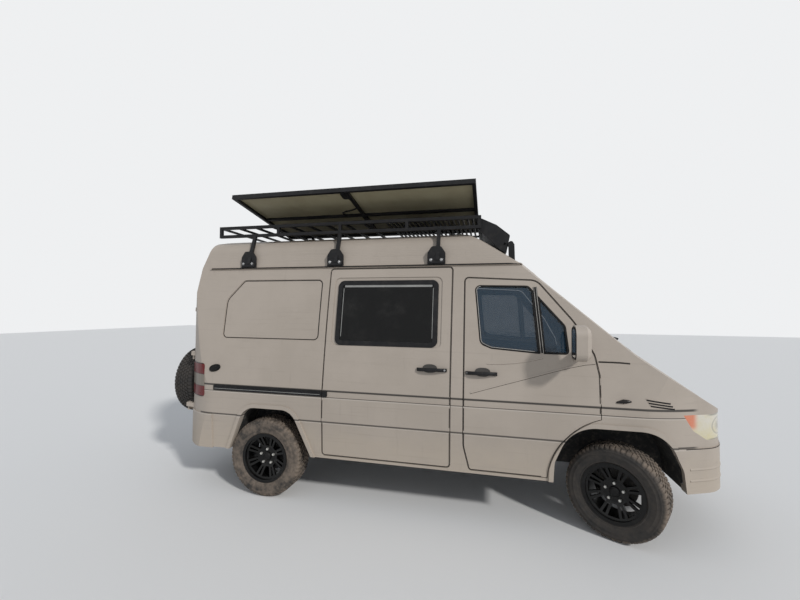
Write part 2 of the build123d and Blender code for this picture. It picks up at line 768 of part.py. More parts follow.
sides = (("right", -1), ("left", 1))
for name, side in sides:
    save(steered(placed(tyre.part, front_axle_x, side), side), "tyre_front_" + name)
    save(steered(placed(rim.part, front_axle_x, side), side), "rim_front_" + name)
    save(placed(tyre.part, rear_axle_x, side), "tyre_rear_" + name)
    save(placed(rim.part, rear_axle_x, side), "rim_rear_" + name)
    with BuildPart() as knuckle:
        add(flange(side).moved(Location((front_axle_x, 0, 0))))
        with Locations((front_axle_x, side * kingpin_half, 230 + seat_gap)):
            Cylinder(22, 240 - 2 * seat_gap, align=(Align.CENTER, Align.CENTER, Align.MIN))
        with Locations(Plane((front_axle_x, 0, axle_z), x_dir=(1, 0, 0), z_dir=(0, side, 0))):
            for radius, start, end in ((52, kingpin_half - 30, 802), (138, 776, 792)):
                with Locations((0, 0, start)):
                    Cylinder(radius, end - start, align=(Align.CENTER, Align.CENTER, Align.MIN))
    save(steered(knuckle.part, side), "knuckle_" + name)

# Axles and drive line
engine_low = 400
with BuildPart() as front_axle:
    add(brick((front_axle_x - 200, -rail_out, 200), (front_axle_x + 200, rail_out, 230)))
    add(brick((front_axle_x - 60, -rail_out, 230), (front_axle_x + 60, rail_out, 300)))
    for side in (-1, 1):
        posts = sorted((side * rail_in, side * rail_out))
        add(brick((front_axle_x - 60, posts[0], 230), (front_axle_x + 60, posts[1], rail_low)))
        for low, high, reach, half in ((200, 230, 330, 200), (470, 494, rail_out, 60)):
            arm_corners = at_axle([
                (-half, side * reach, 0),
                (half, side * reach, 0),
                (32, side * (kingpin_half - 20), 0),
                (20, side * (kingpin_half + 16), 14),
                (-20, side * (kingpin_half + 16), 14),
                (-32, side * (kingpin_half - 20), 0),
            ])
            add(slab(Plane.XY, arm_corners, low, high))
    beam_x = front_axle_x + 240
    add(brick((beam_x, -rail_out, 360), (beam_x + 100, rail_out, engine_low)))
    for side in (-1, 1):
        posts = sorted((side * rail_in, side * rail_out))
        add(brick((beam_x, posts[0], 360), (beam_x + 100, posts[1], rail_low)))
save(front_axle.part, "front_axle")
gearbox_end_x = front_axle_x - 500
with BuildPart() as engine:
    add(brick((front_axle_x + 120, -240, engine_low), (front_axle_x + 600, 240, 900)))
    add(brick((gearbox_end_x, -140, engine_low), (front_axle_x + 120, 140, 470)))
save(engine.part, "engine_block")
spring_y = 430
spring_thick = 24
axle_tube = 46
with BuildSketch(Plane.XZ) as leaf:
    with BuildLine():
        ThreePointArc(
            (rear_axle_x - 640, rail_low),
            (rear_axle_x, axle_z + axle_tube),
            (rear_axle_x + 640, rail_low),
        )
        Line((rear_axle_x + 640, rail_low), (rear_axle_x + 640, rail_low - spring_thick))
        ThreePointArc(
            (rear_axle_x + 640, rail_low - spring_thick),
            (rear_axle_x, axle_z + axle_tube - spring_thick),
            (rear_axle_x - 640, rail_low - spring_thick),
        )
        Line((rear_axle_x - 640, rail_low - spring_thick), (rear_axle_x - 640, rail_low))
    make_face()
shaft_start = Vector(gearbox_end_x, 0, 435)
shaft_end = Vector(rear_axle_x + 100, 0, axle_z)
with BuildPart() as rear_axle:
    with Locations(Plane((rear_axle_x, 0, axle_z), x_dir=(1, 0, 0), z_dir=(0, 1, 0))):
        Cylinder(axle_tube, 2 * 760)
        Cylinder(125, 190)
        for low in (-drum_in - 55, drum_in):
            with Locations((0, 0, low)):
                Cylinder(150, 55, align=(Align.CENTER, Align.CENTER, Align.MIN))
    add(flange(-1).moved(Location((rear_axle_x, 0, 0))))
    add(flange(1).moved(Location((rear_axle_x, 0, 0))))
    for side in (-1, 1):
        extrude(leaf.sketch.moved(Location((0, side * spring_y + 35, 0))), amount=70)
    with Locations(Plane(shaft_start, x_dir=(0, 1, 0), z_dir=shaft_end - shaft_start)):
        Cylinder(34, (shaft_end - shaft_start).length, align=(Align.CENTER, Align.CENTER, Align.MIN))
    add(engine.part, mode=Mode.SUBTRACT)
save(rear_axle.part, "rear_axle")
with BuildPart() as exhaust:
    with Locations(Plane((front_axle_x - 1500, -610, 490), x_dir=(0, 1, 0), z_dir=(-1, 0, 0))):
        Cylinder(85, 560, align=(Align.CENTER, Align.CENTER, Align.MIN))
    with Locations(Plane((front_axle_x - 620, -610, 490), x_dir=(0, 1, 0), z_dir=(-1, 0, 0))):
        Cylinder(27, 1700, align=(Align.CENTER, Align.CENTER, Align.MIN))
    for station in (-700, -1780, -2280):
        hanger_x = front_axle_x + station
        add(brick((hanger_x, -616, 500), (hanger_x + 30, -604, floor_low)))
save(exhaust.part, "exhaust")
with BuildPart() as fuel_tank:
    add(brick((front_axle_x - 1900, 490, 410), (front_axle_x - 1050, 840, floor_low)))
    fillet(fuel_tank.edges().filter_by(Axis.X).group_by(Axis.Z)[0], 60)
save(fuel_tank.part, "fuel_tank")

# Cab: dashboard, steering wheel and two seats
dash_corners = at_axle([(60, 880, 0), (60, 1300, 0), (-60, 1335, 40), (-200, 1215, 50), (-185, 1090, 40), (-70, 880, 30)])
wheel_centre = (front_axle_x - 395, 400, 1190)
wheel_plane = Plane(wheel_centre, x_dir=(0, 1, 0), z_dir=(-0.72, 0, 0.69))
with BuildPart() as wheel_ring:
    with BuildSketch(Plane.XZ):
        with Locations((190, 0)):
            RegularPolygon(15, 6)
    revolve(axis=Axis.Z)
with BuildPart() as dashboard:
    add(less(slab(Plane.XZ, dash_corners, -820, 820), cowl_box))
    add(wheel_ring.part.moved(wheel_plane.location))
    with Locations(wheel_plane):
        Cylinder(55, 40)
        Box(380, 30, 12)
        with Locations((0, 0, -460)):
            Cylinder(30, 460, align=(Align.CENTER, Align.CENTER, Align.MIN))
save(dashboard.part, "dashboard")
seat_low = pedestal_top + seat_gap
seat_corners = at_axle([
    (-1110, seat_low, 0),
    (-560, seat_low, 40),
    (-545, 990, 45),
    (-960, 955, 50),
    (-1085, 1500, 45),
    (-1195, 1500, 45),
    (-1130, 900, 0),
])
rest_corners = at_axle([(-1110, 1545, 40), (-1130, 1720, 40), (-1215, 1720, 40), (-1200, 1545, 40)])
with BuildPart() as cab_seats:
    for side in (-1, 1):
        ends = sorted((side * 205, side * 695))
        add(slab(Plane.XZ, seat_corners, ends[0], ends[1]))
        middle = side * 450
        add(slab(Plane.XZ, rest_corners, middle - 130, middle + 130))
        add(brick((front_axle_x - 1170, middle - 60, 1480), (front_axle_x - 1150, middle - 45, 1560)))
        add(brick((front_axle_x - 1170, middle + 45, 1480), (front_axle_x - 1150, middle + 60, 1560)))
save(cab_seats.part, "cab_seats")

# Roof rack: two rails a side on six gutter feet, deck bars, fairing and panel hinge
rack_rear_x = front_axle_x - 3676
rack_front_x = front_axle_x - 1085
rack_half = 720
tube = 28
low_rail_z = 2445
top_rail_z = 2530
foot_stations = (-3295, -2390, -1450)
hinge_y = 190
hinge_z = 2562
hinge_pin = 6
panel_tilt = 9.4
panel_width = 1134
panel_rear_x = front_axle_x - 3400
panel_front_x = front_axle_x - 1110
fairing_corners = at_axle([
    (-1099, 2544, 0),
    (-940, 2466, 30),
    (-826, 2372, 20),
    (-862, 2190, 0),
    (-878, 2193, 0),
    (-844, 2364, 10),
    (-948, 2452, 20),
    (-1099, 2528, 0),
])
cheek_corners = at_axle([(-1099, 2530, 0), (-945, 2456, 0), (-842, 2366, 0), (-868, 2200, 0), (-1099, 2440, 0)])
clear_roof = envelope(-12, False)
hinge_stations = (panel_rear_x + 260, panel_front_x - 260)


def tube_along(start, end, width=tube):
    # A square tube between two points that share two of their three coordinates.
    low = [min(a, b) - width / 2 for a, b in zip(start, end)]
    high = [max(a, b) + width / 2 for a, b in zip(start, end)]
    return brick(low, high)


with BuildPart() as rack:
    for side in (-1, 1):
        rail_y = side * rack_half
        for rail_z in (low_rail_z, top_rail_z):
            add(tube_along((rack_rear_x, rail_y, rail_z), (rack_front_x, rail_y, rail_z)))
        for station in range(5):
            post_x = rack_rear_x + (rack_front_x - rack_rear_x) * station / 4
            add(tube_along((post_x, rail_y, low_rail_z), (post_x, rail_y, top_rail_z)))
        for station in foot_stations:
            foot_x = front_axle_x + station
            foot_corners = [
                (foot_x - 78, gutter_z, 0),
                (foot_x + 78, gutter_z, 0),
                (foot_x + 78, 2215, 40),
                (foot_x + 40, 2272, 30),
                (foot_x - 40, 2272, 30),
                (foot_x - 78, 2215, 40),
            ]
            ends = sorted((side * 794, side * 812))
            add(slab(Plane.XZ, foot_corners, ends[0], ends[1]))
            strut = [(side * 808, 2150, 0), (side * 836, 2150, 0), (side * 734, low_rail_z, 0), (side * 708, low_rail_z, 0)]
            add(slab(Plane.YZ, strut, foot_x - 4, foot_x + 28))
    for station in range(9):
        bar_x = rack_rear_x + station * 190
        add(tube_along((bar_x, -rack_half, top_rail_z), (bar_x, rack_half, top_rail_z), 20))
    for station in range(20):
        slat_x = rack_front_x - 20 - station * 44
        add(brick((slat_x - 9, -rack_half, top_rail_z - 8), (slat_x + 9, rack_half, top_rail_z + 4)))
    add(tube_along((rack_rear_x, hinge_y, top_rail_z + 4), (rack_front_x, hinge_y, top_rail_z + 4), 20))
    add(less(slab(Plane.XZ, fairing_corners, -670, 670), clear_roof))
    for side in (-1, 1):
        ends = sorted((side * 660, side * 670))
        add(less(slab(Plane.XZ, cheek_corners, ends[0], ends[1]), clear_roof))
    add(brick((rack_front_x - 14, -rack_half, 2516), (rack_front_x + 2, rack_half, 2544)))
    for hinge_x in hinge_stations:
        add(brick((hinge_x - 25, hinge_y - 9, top_rail_z + 10), (hinge_x + 25, hinge_y + 9, hinge_z + 6)))
        with Locations(Plane((hinge_x, hinge_y, hinge_z), x_dir=(0, 1, 0), z_dir=(1, 0, 0))):
            Cylinder(hinge_pin, 130)
save(rack.part, "roof_rack")

# Solar panel, tilted up on the right about the hinge near the middle of the roof
frame_thick = 40
frame_wide = 32
frame_lift = 10
edge_y = -14
tilt_plane = Plane(
    ((panel_rear_x + panel_front_x) / 2, hinge_y, hinge_z),
    x_dir=(1, 0, 0),
    z_dir=(0, sin(radians(panel_tilt)), cos(radians(panel_tilt))),
)
panel_length = panel_front_x - panel_rear_x
with BuildPart() as panel_frame:
    with Locations(tilt_plane):
        with Locations((0, edge_y, frame_lift)):
            Box(panel_length, panel_width, frame_thick, align=(Align.CENTER, Align.MAX, Align.MIN))
        with Locations((0, edge_y - frame_wide, frame_lift)):
            Box(
                panel_length - 2 * frame_wide,
                panel_width - 2 * frame_wide,
                frame_thick,
                align=(Align.CENTER, Align.MAX, Align.MIN),
                mode=Mode.SUBTRACT,
            )
        with Locations((0, edge_y - 10, frame_lift + 6)):
            Box(36, panel_width - 20, 22, align=(Align.CENTER, Align.MAX, Align.MIN))
        with Locations((0, edge_y - 560, frame_lift + 6)):
            Box(panel_length - 20, 36, 22, align=(Align.CENTER, Align.MAX, Align.MIN))
        for hinge_x in hinge_stations:
            shift = hinge_x - (panel_rear_x + panel_front_x) / 2
            for lug_x in (shift - 44, shift + 44):
                with Locations((lug_x, 0, 0)):
                    Cylinder(12, 24, rotation=(0, 90, 0))
                    Box(24, 46, 12, align=(Align.CENTER, Align.MAX, Align.MIN))
                    Cylinder(hinge_pin + 0.3, 24, rotation=(0, 90, 0), mode=Mode.SUBTRACT)
save(panel_frame.part, "panel_frame")
with BuildPart() as panel_sheet:
    with Locations(tilt_plane):
        with Locations((0, edge_y - frame_wide, frame_lift + 28)):
            Box(
                panel_length - 2 * frame_wide,
                panel_width - 2 * frame_wide,
                6,
                align=(Align.CENTER, Align.MAX, Align.MIN),
            )
save(panel_sheet.part, "panel_sheet")

# Door mirrors, spare wheel and its carrier
mirror_corners = [(-1196, 1352, 60), (-1030, 1352, 50), (-1030, 1612, 70), (-1196, 1612, 80)]
arm_out = -1050
with BuildPart() as door_mirror:
    add(slab(Plane.YZ, mirror_corners, front_axle_x - 400, front_axle_x - 296))
    chamfer(door_mirror.edges().group_by(Axis.X)[-1], 30)
    add(less(brick((front_axle_x - 345, arm_out, 1378), (front_axle_x - 275, -900, 1430)), outer))
save(door_mirror.part, "mirror_right")
save(mirrored(door_mirror.part), "mirror_left")
spare_y = -420
spare_z = 940
spare_x = rear_face_x - 20 - tyre_half
turn_back = Location((spare_x, spare_y, spare_z), (0, 0, -90))
save(tyre.part.moved(turn_back), "spare_tyre")
with BuildPart() as spare_rim:
    add(rim.part.moved(turn_back))
save(spare_rim.part, "spare_rim")
with BuildPart() as spare_carrier:
    carrier_end = spare_x - hub_seat + seat_gap
    add(brick((carrier_end, spare_y - 95, spare_z - 95), (rear_face_x + stamp_depth, spare_y + 95, spare_z + 95)))
save(spare_carrier.part, "spare_carrier")
print("done")
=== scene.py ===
import bpy
import bmesh
from math import cos, pi, radians, sin, tan
from mathutils import Matrix, Vector
from mathutils.bvhtree import BVHTree


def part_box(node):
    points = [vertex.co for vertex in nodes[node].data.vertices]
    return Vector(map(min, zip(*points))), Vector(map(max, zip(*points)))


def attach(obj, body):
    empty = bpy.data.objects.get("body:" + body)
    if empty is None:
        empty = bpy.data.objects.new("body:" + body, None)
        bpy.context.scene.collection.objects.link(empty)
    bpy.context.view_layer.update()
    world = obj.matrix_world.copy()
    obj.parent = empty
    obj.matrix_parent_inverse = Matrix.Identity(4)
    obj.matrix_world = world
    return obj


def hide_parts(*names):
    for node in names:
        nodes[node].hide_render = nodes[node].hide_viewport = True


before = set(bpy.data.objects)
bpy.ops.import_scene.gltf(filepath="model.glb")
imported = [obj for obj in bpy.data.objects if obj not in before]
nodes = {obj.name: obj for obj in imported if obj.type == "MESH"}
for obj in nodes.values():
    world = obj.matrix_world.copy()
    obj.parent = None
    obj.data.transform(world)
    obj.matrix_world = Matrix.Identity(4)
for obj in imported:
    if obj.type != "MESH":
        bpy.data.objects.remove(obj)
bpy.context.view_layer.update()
scene = bpy.context.scene
frontAxleX = 1.653
rearAxleX = frontAxleX - 3.0
print("frame loaded with", len(nodes), "nodes")


class Wire:
    # one output of a node, which can stand in a sum
    def __init__(self, finish, socket):
        self.finish = finish
        self.socket = socket

    def sum(self, operation, first, second):
        return self.finish.node("ShaderNodeMath", {"operation": operation}, {0: first, 1: second})

    def __add__(self, other):
        return self.sum("ADD", self, other)

    def __radd__(self, other):
        return self.sum("ADD", other, self)

    def __sub__(self, other):
        return self.sum("SUBTRACT", self, other)

    def __rsub__(self, other):
        return self.sum("SUBTRACT", other, self)

    def __mul__(self, other):
        return self.sum("MULTIPLY", self, other)

    def __rmul__(self, other):
        return self.sum("MULTIPLY", other, self)

    def __pow__(self, other):
        return self.sum("POWER", self, other)

    def __abs__(self):
        return (self * self) ** 0.5

    def least(self, other):
        return self.sum("MINIMUM", self, other)

    def most(self, other):
        return self.sum("MAXIMUM", self, other)

    def wrap(self, step):
        return self.sum("PINGPONG", self, step)

    def ramp(self, low, high):  # 0 below low, 1 above high, smooth between
        limits = {0: self, 1: low, 2: high, 3: 0.0, 4: 1.0}
        return self.finish.node("ShaderNodeMapRange", {"interpolation_type": "SMOOTHSTEP"}, limits)

    def near(self, value, close, far):  # 1 up to close from a value, 0 beyond far from it
        return 1 - abs(self - value).ramp(close, far)


class Finish:
    # one material, built from sums of its own nodes
    def __init__(self, name):
        self.material = bpy.data.materials.new(name)
        self.material.use_nodes = True
        self.tree = self.material.node_tree
        self.shader = self.tree.nodes["Principled BSDF"]
        place = self.tree.nodes.new("ShaderNodeTexCoord")
        self.place = Wire(self, place.outputs["Object"])
        self.facing = Wire(self, place.outputs["Normal"])
        self.x, self.y, self.z = self.split(self.place)

    def plug(self, socket, value):
        if isinstance(value, Wire):
            self.tree.links.new(value.socket, socket)
        elif isinstance(value, tuple) and socket.type == "RGBA":
            socket.default_value = value + (1.0,)
        else:
            socket.default_value = value

    def node(self, kind, settings, values, output=0):
        made = self.tree.nodes.new(kind)
        for name, value in settings.items():
            setattr(made, name, value)
        for name, value in values.items():
            self.plug(made.inputs[name], value)
        return Wire(self, made.outputs[output])

    def split(self, vector):
        parts = self.tree.nodes.new("ShaderNodeSeparateXYZ")
        self.tree.links.new(vector.socket, parts.inputs[0])
        return [Wire(self, out) for out in parts.outputs]

    def stretched(self, scale):
        return self.node("ShaderNodeVectorMath", {"operation": "MULTIPLY"}, {0: self.place, 1: scale})

    def noise(self, scale, detail=3.0, rough=0.55, at=None):
        values = {"Vector": at or self.place, "Scale": scale, "Detail": detail, "Roughness": rough}
        return self.node("ShaderNodeTexNoise", {}, values)

    def mix(self, factor, first, second):
        return self.node("ShaderNodeMix", {"data_type": "RGBA"}, {0: factor, 6: first, 7: second}, 2)

    def bump(self, height, strength, distance):
        values = {"Height": height, "Strength": strength, "Distance": distance}
        self.set("Normal", self.node("ShaderNodeBump", {}, values))

    def set(self, name, value):
        self.plug(self.shader.inputs[name], value)


def apart(across, up):
    # distance from a spot, out of the two distances to it
    return (across * across + up * up) ** 0.5


# body paint: dusty beige with dirt streaks, painted shade along the folds pressed into the sides, and painted
# highlights on lips below two of them
paintLook = {
    "colour": (0.418, 0.360, 0.303),
    "deep": (0.362, 0.311, 0.259),
    "dust": (0.45, 0.382, 0.305),
    "dustHeights": (0.42, 0.95),  # all dust below, none above
    # dark colour for the dirt streaks and for the painted shade in the folds
    "shadeAndGrime": (0.060, 0.053, 0.046),
    "grain": 900,
    # painted shade along each fold, as its height, half width and darkness
    "folds": ((0.9965, 0.0090, 1.0), (0.9405, 0.0034, 0.85), (0.7265, 0.0068, 0.9)),  # height, half width, darkness
    "foldsRear": -2.05,
    "foldsFront": (2.10, 2.16),
    "foldsOutside": (0.84, 0.86),  # distance from the van's middle
    # painted highlight on a lip below a fold, as its height and half width
    "lips": ((0.9330, 0.0040), (0.7130, 0.0045)),  # height, half width
    "lit": (0.52, 0.465, 0.405),
    "ribs": 62,  # to a metre, on the roof cap
    "ribsFoot": (2.125, 2.15),
    "ribsTop": (2.25, 2.29),
}


def vanPaint(name, ribbed=False):
    look = Finish(name)
    cloud = look.noise(1.6, 4, 0.6)
    blotch = look.noise(9, 5, 0.65)
    tone = look.mix(cloud.ramp(0.35, 0.65) * 0.6, paintLook["colour"], paintLook["deep"])
    low = 1 - look.z.ramp(*paintLook["dustHeights"])
    splash = (low * (0.35 + blotch)).ramp(0.28, 0.95)
    dust = look.mix(splash * 0.55, tone, paintLook["dust"])
    streak = look.noise(26, 3, 0.6, look.stretched((1.0, 1.0, 0.08)))
    brushed = look.noise(30, 3, 0.6, look.stretched((0.05, 0.4, 1.6)))
    streaksAndShade = streak.ramp(0.6, 0.8) * 0.10 + brushed.ramp(0.55, 0.75) * 0.07
    outer = abs(look.y).ramp(*paintLook["foldsOutside"]) * (1 - look.x.ramp(*paintLook["foldsFront"]))
    ahead = look.x.ramp(paintLook["foldsRear"], paintLook["foldsRear"] + 0.02)
    # painted shade along each fold joins the dirt streaks
    for height, half, dark in paintLook["folds"]:
        streaksAndShade = streaksAndShade.most(look.z.near(height, half * 0.6, half * 1.3) * outer * ahead * dark)
    # painted highlight on the lips below two folds, over the dusty colour
    for height, half in paintLook["lips"]:
        dust = look.mix(look.z.near(height, half * 0.4, half * 1.4) * outer * 0.8, dust, paintLook["lit"])
    look.set("Base Color", look.mix(streaksAndShade.least(1.0), dust, paintLook["shadeAndGrime"]))
    look.set("Roughness", 0.50 + splash * 0.25 + (blotch - 0.5) * 0.12)
    look.set("Specular IOR Level", 0.42)
    height = look.noise(paintLook["grain"], 2, 0.5) * 0.35 + look.noise(60, 2, 0.5) * 0.3
    if ribbed:
        rib = (look.z * paintLook["ribs"]).wrap(0.5) * 2
        band = look.z.ramp(*paintLook["ribsFoot"]) * (1 - look.z.ramp(*paintLook["ribsTop"]))
        height = height + rib.ramp(0.2, 0.6) * band * 2.2
    look.bump(height, 0.22, 0.0016)
    return look.material


def plainCoat(name, colour, roughness, grain, depth, dusty=0.0, metallic=0.0, shine=0.5):
    # a moulded, painted or metal surface with a fine grain and some dust on it
    look = Finish(name)
    cloud = look.noise(7, 4, 0.6)
    lighter = tuple(min(1.0, part * 1.5 + 0.006) for part in colour)
    tone = look.mix(cloud.ramp(0.4, 0.75) * 0.5, colour, lighter)
    dirt = look.noise(22, 5, 0.7).ramp(0.45, 0.8) * dusty
    look.set("Base Color", look.mix(dirt, tone, (0.30, 0.26, 0.21)))
    look.set("Roughness", roughness + (cloud - 0.5) * 0.14 + dirt * 0.3)
    look.set("Metallic", metallic)
    look.set("Specular IOR Level", shine)
    look.bump(look.noise(grain, 3, 0.6), depth, 0.0012)
    return look.material


def windowGlass(name, tint, cover, shine):
    # thin tinted glass: what stands behind shows through, under a light film of dust
    look = Finish(name)
    film = look.noise(5, 5, 0.7).ramp(0.45, 0.9)
    look.set("Base Color", look.mix(film * 0.06, tint, (0.34, 0.32, 0.29)))
    look.set("Roughness", 0.02 + film * 0.06)
    look.set("Specular IOR Level", shine)
    look.set("Alpha", (cover + film * 0.10).least(1.0))
    return look.material


def tyreRubber(name, wall, crown):
    # black rubber with dry mud on it: wall and crown say how much, and a low wall value also paints shade on the
    # walls
    look = Finish(name)
    cloud = look.noise(14, 5, 0.65)
    tread = apart(look.x, look.z).ramp(0.318, 0.345)
    dust = (wall + tread * (crown - wall)) * cloud.ramp(0.25, 0.7)
    look.set("Base Color", look.mix(dust, (0.018, 0.017, 0.016), (0.23, 0.180, 0.138)))
    look.set("Roughness", 0.72 + dust * 0.2)
    look.bump(look.noise(160, 4, 0.6) + look.noise(900, 2) * 0.4, 0.35, 0.0012)
    return look.material


def mirrorCoat(name):
    # the shell is painted, and its arm next to the door is bare black plastic
    look = Finish(name)
    arm = 1 - abs(look.y).ramp(1.026, 1.030)
    cloud = look.noise(6, 4, 0.6)
    tone = look.mix(cloud.ramp(0.35, 0.65) * 0.5, paintLook["colour"], paintLook["deep"])
    look.set("Base Color", look.mix(arm, tone, (0.020, 0.020, 0.020)))
    look.set("Roughness", 0.5 + (cloud - 0.5) * 0.12)
    look.bump(look.noise(paintLook["grain"], 2, 0.5), 0.2, 0.001)
    return look.material


# lenses: heights and distances are those of the lamps on the van
lampLook = {
    "clear": (0.62, 0.58, 0.50),
    "yellowed": (0.60, 0.53, 0.33),
    "bowls": ((0.735, 0.062), (0.590, 0.056)),  # distance from the van's middle, radius
    "bowlHeight": 0.872,
    "bowlShade": (0.17, 0.165, 0.155),
    "foot": (0.779, 0.790),
    "top": (0.946, 0.958),
    "edge": (0.09, 0.088, 0.080),
    "amber": (0.62, 0.185, 0.090),
}
tailLook = {
    "red": ((0.110, 0.006, 0.006), (0.190, 0.012, 0.011)),
    "white": ((0.20, 0.175, 0.14), (0.28, 0.245, 0.20)),
    "seams": (0.9735, 1.0845),
    "foot": (0.877, 0.882),
    "top": (1.178, 1.183),
    "seam": (0.016, 0.013, 0.013),
}


def lampLens(name):
    # old polycarbonate over two bowls, yellowed towards its foot, with an orange part at the rear
    look = Finish(name)
    haze = look.noise(18, 4, 0.6)
    side = abs(look.y)
    low = 1 - look.z.ramp(0.80, 0.94)
    age = (haze.ramp(0.3, 0.75) * 0.5 + low * 0.6).least(1.0)
    old = look.mix(age, lampLook["clear"], lampLook["yellowed"])
    inner = look.x.ramp(2.20, 2.26)
    for across, radius in lampLook["bowls"]:
        away = apart(side - across, look.z - lampLook["bowlHeight"])
        ring = away.ramp(radius - 0.010, radius - 0.003) * (1 - away.ramp(radius + 0.001, radius + 0.006))
        bowl = (1 - away.ramp(radius * 0.1, radius * 0.85)) * 0.55
        old = look.mix((ring * 0.45 + bowl).least(0.7) * inner, old, lampLook["bowlShade"])
    rim = look.z.ramp(*lampLook["top"]).most(1 - look.z.ramp(*lampLook["foot"]))
    old = look.mix(rim * inner * 0.6, old, lampLook["edge"])
    amber = side.ramp(0.850, 0.874) * look.z.ramp(0.840, 0.885)
    look.set("Base Color", look.mix((amber * (0.80 + haze * 0.3)).least(1.0), old, lampLook["amber"]))
    look.set("Roughness", 0.12 + haze * 0.10)
    look.set("Coat Weight", 0.6)
    look.bump((look.y * 70).wrap(0.5) + (look.z * 50).wrap(0.5), 0.22, 0.003)
    return look.material


def tailLens(name):
    # three parts: dark red, smoked white and dark red again, with dark seams between
    look = Finish(name)
    lower, upper = tailLook["seams"]
    band = look.z.ramp(lower - 0.0015, lower + 0.0015) * (1 - look.z.ramp(upper - 0.0015, upper + 0.0015))
    seam = (1 - abs(look.z - lower).least(abs(look.z - upper)) * 250).most(0.0)
    seam = seam.most(look.z.ramp(*tailLook["top"])).most(1 - look.z.ramp(*tailLook["foot"]))
    ribs = (look.z * 110).wrap(0.5) + (look.y * 60).wrap(0.5)
    colour = look.mix(band, look.mix(ribs * 0.5, *tailLook["red"]), look.mix(ribs * 0.5, *tailLook["white"]))
    look.set("Base Color", look.mix(seam, colour, tailLook["seam"]))
    look.set("Roughness", 0.24 + look.noise(30, 3) * 0.1)
    look.set("Specular IOR Level", 0.35)
    look.bump(ribs, 0.3, 0.002)
    return look.material


def solarSheet(name):
    # cells on top, cream sheet underneath, its colour darkened partly as painted shade under the panel
    look = Finish(name)
    cells, wires = 5.86, 53  # to a metre
    up = look.split(look.facing)[2].ramp(0.0, 0.1)
    grid = 1 - (look.x * cells).wrap(0.5).least((look.y * cells).wrap(0.5)).ramp(0.006, 0.018)
    fine = 1 - (look.x * wires).wrap(0.5).ramp(0.03, 0.09)
    cell = look.mix(look.noise(3, 2).ramp(0.3, 0.7), (0.006, 0.009, 0.022), (0.010, 0.015, 0.036))
    top = look.mix((grid + fine * 0.35).least(1.0), cell, (0.16, 0.17, 0.19))
    wear = look.noise(4, 5, 0.7)
    # the underside's olive cream is darkened partly as painted shade
    under = look.mix(wear.ramp(0.35, 0.75), (0.34, 0.305, 0.20), (0.29, 0.255, 0.165))
    look.set("Base Color", look.mix(up, under, top))
    look.set("Roughness", 0.48 - up * 0.34)
    look.set("Coat Weight", up * 0.8)
    return look.material


def seatCloth(name):
    look = Finish(name)
    threads = 520  # to a metre, each way
    weave = sum((line * threads).wrap(0.5) for line in (look.x, look.y, look.z))
    cloud = look.noise(10, 4)
    look.set("Base Color", look.mix(cloud.ramp(0.3, 0.7), (0.085, 0.115, 0.16), (0.12, 0.15, 0.20)))
    look.set("Roughness", 0.85 + (cloud - 0.5) * 0.1)
    look.set("Sheen Weight", 0.3)
    look.bump(weave + look.noise(300, 3) * 0.6, 0.4, 0.0012)
    return look.material


